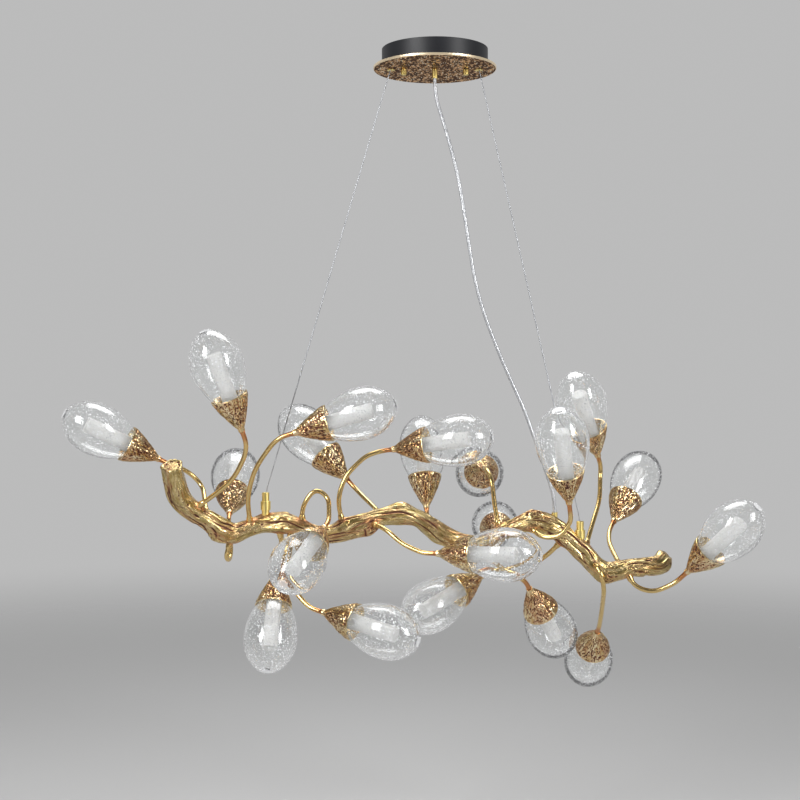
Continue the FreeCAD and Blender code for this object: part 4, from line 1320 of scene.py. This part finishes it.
    def build(self) -> list[bpy.types.Object]:
        """Make every head's pieces.

        Returns:
            The finished pieces.
        """
        dress_nodes(self.lamp.material(), "led_lamps")
        return [self.cups(1, 10), self.cups(11, 20), self.globes(), self.tubes()]


@dataclass
class Stems:
    """The curved tubes from the branch to the cups."""

    finish: SatinBrass
    casting: BranchCasting
    sides: int = 20
    radius: float = 4.0 * MM
    foot: float = 7.5 * MM
    lip: float = 1.2 * MM
    lip_width: float = 1.8 * MM
    stand_off: float = 8.0 * MM
    lead: float = 22.0 * MM
    grip: float = 4.0 * MM
    braze: float = 0.8 * MM
    braze_width: float = 3.0 * MM
    wave_share: float = 0.012
    wave_run: float = 7.0 * MM
    step: float = 1.5 * MM
    turn_share: float = 0.45
    evening: int = 22
    tip_blush: float = 26.0 * MM
    root_blush: float = 25.0 * MM

    def centre_line(self, points: np.ndarray) -> tuple[np.ndarray, np.ndarray]:
        """Straight runs joined by arcs as large as they allow, evened out and in equal steps.

        Args:
            points: Where the stem would turn if its corners were sharp.

        Returns:
            The points of the centre line, and the distance of each along it.
        """
        path = [points[0]]
        for before, corner, after in zip(points, points[1:], points[2:]):
            legs = [corner - before, after - corner]
            lengths = [float(np.linalg.norm(leg)) for leg in legs]
            one, two = legs[0] / lengths[0], legs[1] / lengths[1]
            turn = math.acos(max(-1.0, min(1.0, float(one @ two))))
            radius = self.turn_share * min(lengths) / math.tan(turn / 2)
            inward, along = ((two + way * one) / np.linalg.norm(two + way * one) for way in (-1.0, 1.0))
            middle = corner + inward * radius / math.cos(turn / 2)
            for angle in np.linspace(-turn / 2, turn / 2, 24):
                path.append(middle + (along * math.sin(angle) - inward * math.cos(angle)) * radius)
        line = np.array([*path, points[-1]])
        run = travelled(line)
        even = np.linspace(0.0, run[-1], max(12, round(run[-1] / self.step)))
        line = np.column_stack([np.interp(even, run, line[:, axis]) for axis in range(3)])
        for _ in range(self.evening):
            line[1:-1] = (line[:-2] + 2 * line[1:-1] + line[2:]) / 4
        return line, even

    def tube(self, number: int) -> np.ndarray:
        """Rings of one stem: a cast socket at its root, then the tube up to its brazed joint in the cup.

        Args:
            number: Index of the light.

        Returns:
            Rings by sides by three, in metres.
        """
        (tip, way), (station, bends) = HEAD_SHARES[number], BEND_SHARES[number]
        tip, way = np.array(placed(tip)), np.array(way) / np.linalg.norm(way)
        centres, widths = self.casting.line(np.array([station]))
        line, along = self.centre_line(np.array([
            centres[0], *(np.array(placed(bend)) for bend in bends),
            tip - way * self.lead, tip + way * self.grip]))
        socket = widths[0] + self.stand_off
        collar = along[-1] - self.grip
        cone = self.foot + (self.radius + self.lip - self.foot) * np.clip(along / socket, 0.0, 1.0)
        lip = self.radius + self.lip * np.exp(-((along - socket) / self.lip_width) ** 2)
        joint = self.braze * np.exp(-((along - collar) / self.braze_width) ** 2) * (along <= collar)
        worn = self.wave_share * self.radius * np.sin(along / self.wave_run + number)
        widths = np.where(along < socket, cone, lip + joint + worn * (along < collar))
        run = unit(np.gradient(line, axis=0))
        angles = np.linspace(0, 2 * math.pi, self.sides, endpoint=False)
        side = np.cross(run[0], (0.3, 0.8, 0.5))
        rings = [np.repeat(line[:1], self.sides, axis=0)]
        for place, ahead, width in zip(line, run, widths):
            side = side - ahead * (side @ ahead)
            side /= np.linalg.norm(side)
            across = np.cross(ahead, side)
            rings.append(place + width * (np.cos(angles)[:, None] * side + np.sin(angles)[:, None] * across))
        rings.append(np.repeat(line[-1:], self.sides, axis=0))
        return np.array(rings)

    def build(self) -> bpy.types.Object:
        """Make all stems as one piece, blushed at their sockets and near their cups.

        Returns:
            The finished piece.
        """
        work = bmesh.new()
        roots = []
        for number in range(len(BEND_SHARES)):
            rings = self.tube(number)
            roots.append(rings[0, 0])
            bare = grid_mesh("stem_rings", rings)
            work.from_mesh(bare)
            bpy.data.meshes.remove(bare)
        mesh = bpy.data.meshes.new("stem_set")
        work.to_mesh(mesh)
        work.free()
        tidy_mesh(mesh, 50.0)
        tips = [placed(tip) for tip, way in HEAD_SHARES]
        top, low = (
            np.linalg.norm(points_of(mesh)[:, None] - np.array(ends)[None], axis=2).min(axis=1)
            for ends in (tips, roots))
        carry(mesh, "blush", np.maximum(
            np.exp(-(top / self.tip_blush) ** 2), 0.75 * np.exp(-(low / self.root_blush) ** 4)))
        item = new_object("stem_set", mesh)
        dress(item, self.finish.material())
        return stand(item, "stem_brass", *numbered("stem"))


@dataclass
class Suspension:
    """The two wires, their grippers, the power cord and its ferrule."""

    wire: StrandedWire
    sheath: ClearSheath
    brass: SatinBrass
    wire_size: float = 1.8 * MM
    cord_size: float = 6.0 * MM
    wire_routes: dict = field(default_factory=lambda: {
        "left": ((-75.0, 0.0, -31.0), (-280.5, -3.9, -728.9), (-288.4, -4.0, -755.8), (-288.4, -4.0, -782.3)),
        "right": ((75.0, 0.0, -31.0), (241.3, -6.1, -777.2), (247.3, -6.3, -804.3), (247.3, -6.3, -830.8)),
    })
    cord_route: tuple = (
        (0, 0, -43), (0, 0, -76), (12, 0, -115), (26, -1, -162), (40, -1, -218), (49, -2, -272),
        (58, -2, -332), (68, -3, -394), (83, -4, -450), (105, -5, -508), (128, -6, -562), (153, -7, -616),
        (171, -8, -668), (186, -9, -712), (198, -8.7, -746), (203.6, -8.5, -771), (203.6, -8.5, -792.2))

    def curve(self, name: str, route: tuple, diameter: float) -> tuple[bpy.types.Object, list[Vector]]:
        """A round smooth curve along a route.

        Args:
            name: The piece's name.
            route: Its points in millimetres.
            diameter: The cord's diameter in metres.

        Returns:
            The curve object and the points of its centre line.
        """
        data = bpy.data.curves.new(name, "CURVE")
        data.dimensions = "3D"
        spline = data.splines.new("NURBS")
        spline.points.add(len(route) - 1)
        for point, place in zip(spline.points, route):
            point.co = (*(Vector(place) * MM), 1.0)
        spline.order_u = 3
        spline.use_endpoint_u = True
        spline.resolution_u = 12
        item = new_object(name, data)
        bare = plain_mesh(item)
        places = [vertex.co.copy() for vertex in bare.vertices]
        bpy.data.meshes.remove(bare)
        data.bevel_depth = diameter / 2
        data.bevel_resolution = 4
        data.use_fill_caps = True
        return item, places

    def length(self, places: list[Vector]) -> float:
        """Length of a centre line in metres."""
        return sum((b - a).length for a, b in zip(places, places[1:]))

    def build(self) -> list[bpy.types.Object]:
        """Make the wires and the cord, and dress what holds them.

        Returns:
            The finished pieces.
        """
        made = []
        material = self.wire.material()
        for side, route in self.wire_routes.items():
            item, places = self.curve(f"wire_line_{side}", route, self.wire_size)
            dress(item, material)
            stand(item, "wire", f"wire_{side}")
            self.length(places)
            made.append(item)
        line, places = self.curve("cord_route", self.cord_route, self.cord_size)
        item = new_object("cord_line", plain_mesh(line))
        tidy_mesh(item.data)
        bpy.data.objects.remove(line)
        dress(item, self.sheath.material())
        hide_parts("power_cord")
        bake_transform(item)
        self.length(places)
        dress_nodes(self.brass.material(), "gripper_bodies", "cord_bush",
                    "gripper_sleeve_left", "gripper_sleeve_right")
        return [*made, item]


@dataclass
class Canopy:
    """The drum, its gold plate and the pieces inside and below it."""

    plate: HammeredGold
    drum: Lacquer
    brass: SatinBrass
    steel: Lacquer
    driver: Lacquer
    terminal: Lacquer

    def build(self) -> None:
        """Dress the canopy's nodes."""
        for finish, nodes in (
                (self.plate, ["canopy_plate"]), (self.drum, ["canopy_drum"]),
                (self.brass, ["stud_nuts", "wire_bushes", "cord_gland"]),
                (self.steel, ["mounting_bar", "bar_studs"]),
                (self.driver, ["led_driver"]), (self.terminal, ["terminal_block"])):
            dress_nodes(finish.material(), *nodes)


@dataclass
class Studio:
    """A pale floor, even surroundings, soft lamps and the camera."""

    pale: float = 0.50
    dim: float = 0.11
    floor_height: float = -1.42
    floor_radius: float = 9.0
    floor_fade: tuple[float, float] = (1.2, 5.0)
    lamps: tuple = (
        ("left_softbox", (-2.0, -2.2, 0.5), (0.9, 1.5), 70.0),
        ("right_softbox", (2.1, -1.9, 0.1), (0.7, 1.4), 50.0),
        ("top_softbox", (0.0, 0.8, 1.6), (2.0, 1.2), 45.0))
    aim: Point = (0.0, 0.0, -0.7)
    eye: Point = (-59.5, -2410.0, -598.0)
    lens: float = 63.5
    sensor: float = 36.0

    def floor(self) -> None:
        """A wide round floor that melts into the surroundings."""
        work = bmesh.new()
        bmesh.ops.create_circle(work, cap_ends=True, segments=96, radius=self.floor_radius)
        bmesh.ops.translate(work, verts=work.verts, vec=Vector((0, 0, self.floor_height)))
        mesh = bpy.data.meshes.new("studio_floor")
        work.to_mesh(mesh)
        work.free()
        item = new_object("studio_floor", mesh)
        paint = Paint("pale floor")
        pale = paint.surface({"Base Color": (self.pale,) * 3, "Roughness": 0.9})
        clear = paint.out("ShaderNodeBsdfTransparent")
        dress(item, paint.close(paint.mixed(paint.from_axis().step(*self.floor_fade), pale, clear)))

    def surroundings(self) -> None:
        """Even pale light from all round, dimmer from behind the camera."""
        world = bpy.data.worlds.new("studio")
        bpy.context.scene.world = world
        world.use_nodes = True
        nodes = NodeTree(world.node_tree)
        rear = nodes.out("ShaderNodeMapRange", None, {
            "Value": nodes.out("ShaderNodeTexCoord", name="Generated").part("Y"),
            "From Min": -0.1, "From Max": 0.6, "To Min": self.dim, "To Max": self.pale})
        nodes.tree.links.new(rear.socket, nodes.tree.nodes["Background"].inputs["Color"])

    def lamp(self, name: str, place: Point, size: tuple[float, float], power: float) -> None:
        """Hang one soft lamp that faces the light.

        Args:
            name: Its name.
            place: Where it hangs, in metres.
            size: Its width and height.
            power: Its power in watts.
        """
        data = bpy.data.lights.new(name, "AREA")
        data.shape = "RECTANGLE"
        data.size, data.size_y = size
        data.energy = power
        item = new_object(name, data)
        item.location = place
        item.rotation_euler = (Vector(self.aim) - Vector(place)).to_track_quat("-Z", "Y").to_euler()

    def camera(self) -> None:
        """Stand the camera where the photograph was taken from."""
        data = bpy.data.cameras.new("camera")
        data.lens = self.lens
        data.sensor_width = self.sensor
        item = new_object("camera", data)
        item.location = Vector(self.eye) * MM
        item.rotation_euler = (math.radians(90), 0, 0)
        bpy.context.scene.camera = item

    def build(self) -> None:
        """Set up the whole studio."""
        self.floor()
        self.surroundings()
        for lamp in self.lamps:
            self.lamp(*lamp)
        self.camera()
        bpy.context.scene.view_settings.view_transform = "Standard"


def main() -> None:
    """Build every sub-assembly in order and report it."""
    logging.basicConfig(level=logging.INFO, format="%(name)s: %(message)s")
    fittings = SatinBrass((0.95, 0.76, 0.28), (0.85, 0.50, 0.20), 0.36, name="bright brass fittings")
    Studio().build()
    LOG.info("studio is set")
    for item in Suspension(StrandedWire(), ClearSheath(), fittings).build():
        LOG.info("made %s", item.name)
    casting = BranchCasting(CastGold())
    for piece in (casting, Stems(SatinBrass(), casting)):
        item = piece.build()
        LOG.info("made %s, %d faces", item.name, len(item.data.polygons))
    heads = LightHeads(
        CastGold((0.66, 0.47, 0.20), (1.0, 0.86, 0.56), warmth=0.08, veining=0.0, stain_from=0.44, rough=0.24,
                 name="cast gold cups"),
        SeededGlass(), FrostedTube(), Lacquer((0.75, 0.76, 0.77), 0.35, 1.0, name="lamp metal"))
    for item in heads.build():
        LOG.info("made %s, %d faces", item.name, len(item.data.polygons))
    Canopy(
        HammeredGold(), Lacquer((0.009, 0.010, 0.014), 0.50, name="satin black"), fittings,
        Lacquer((0.6, 0.6, 0.6), 0.4, 1.0, name="zinc steel"),
        Lacquer((0.50, 0.51, 0.52), 0.5, name="driver case"),
        Lacquer((0.56, 0.55, 0.51), 0.5, name="terminal plastic"),
    ).build()
    LOG.info("dressed the canopy")


if __name__ == "__main__":
    main()
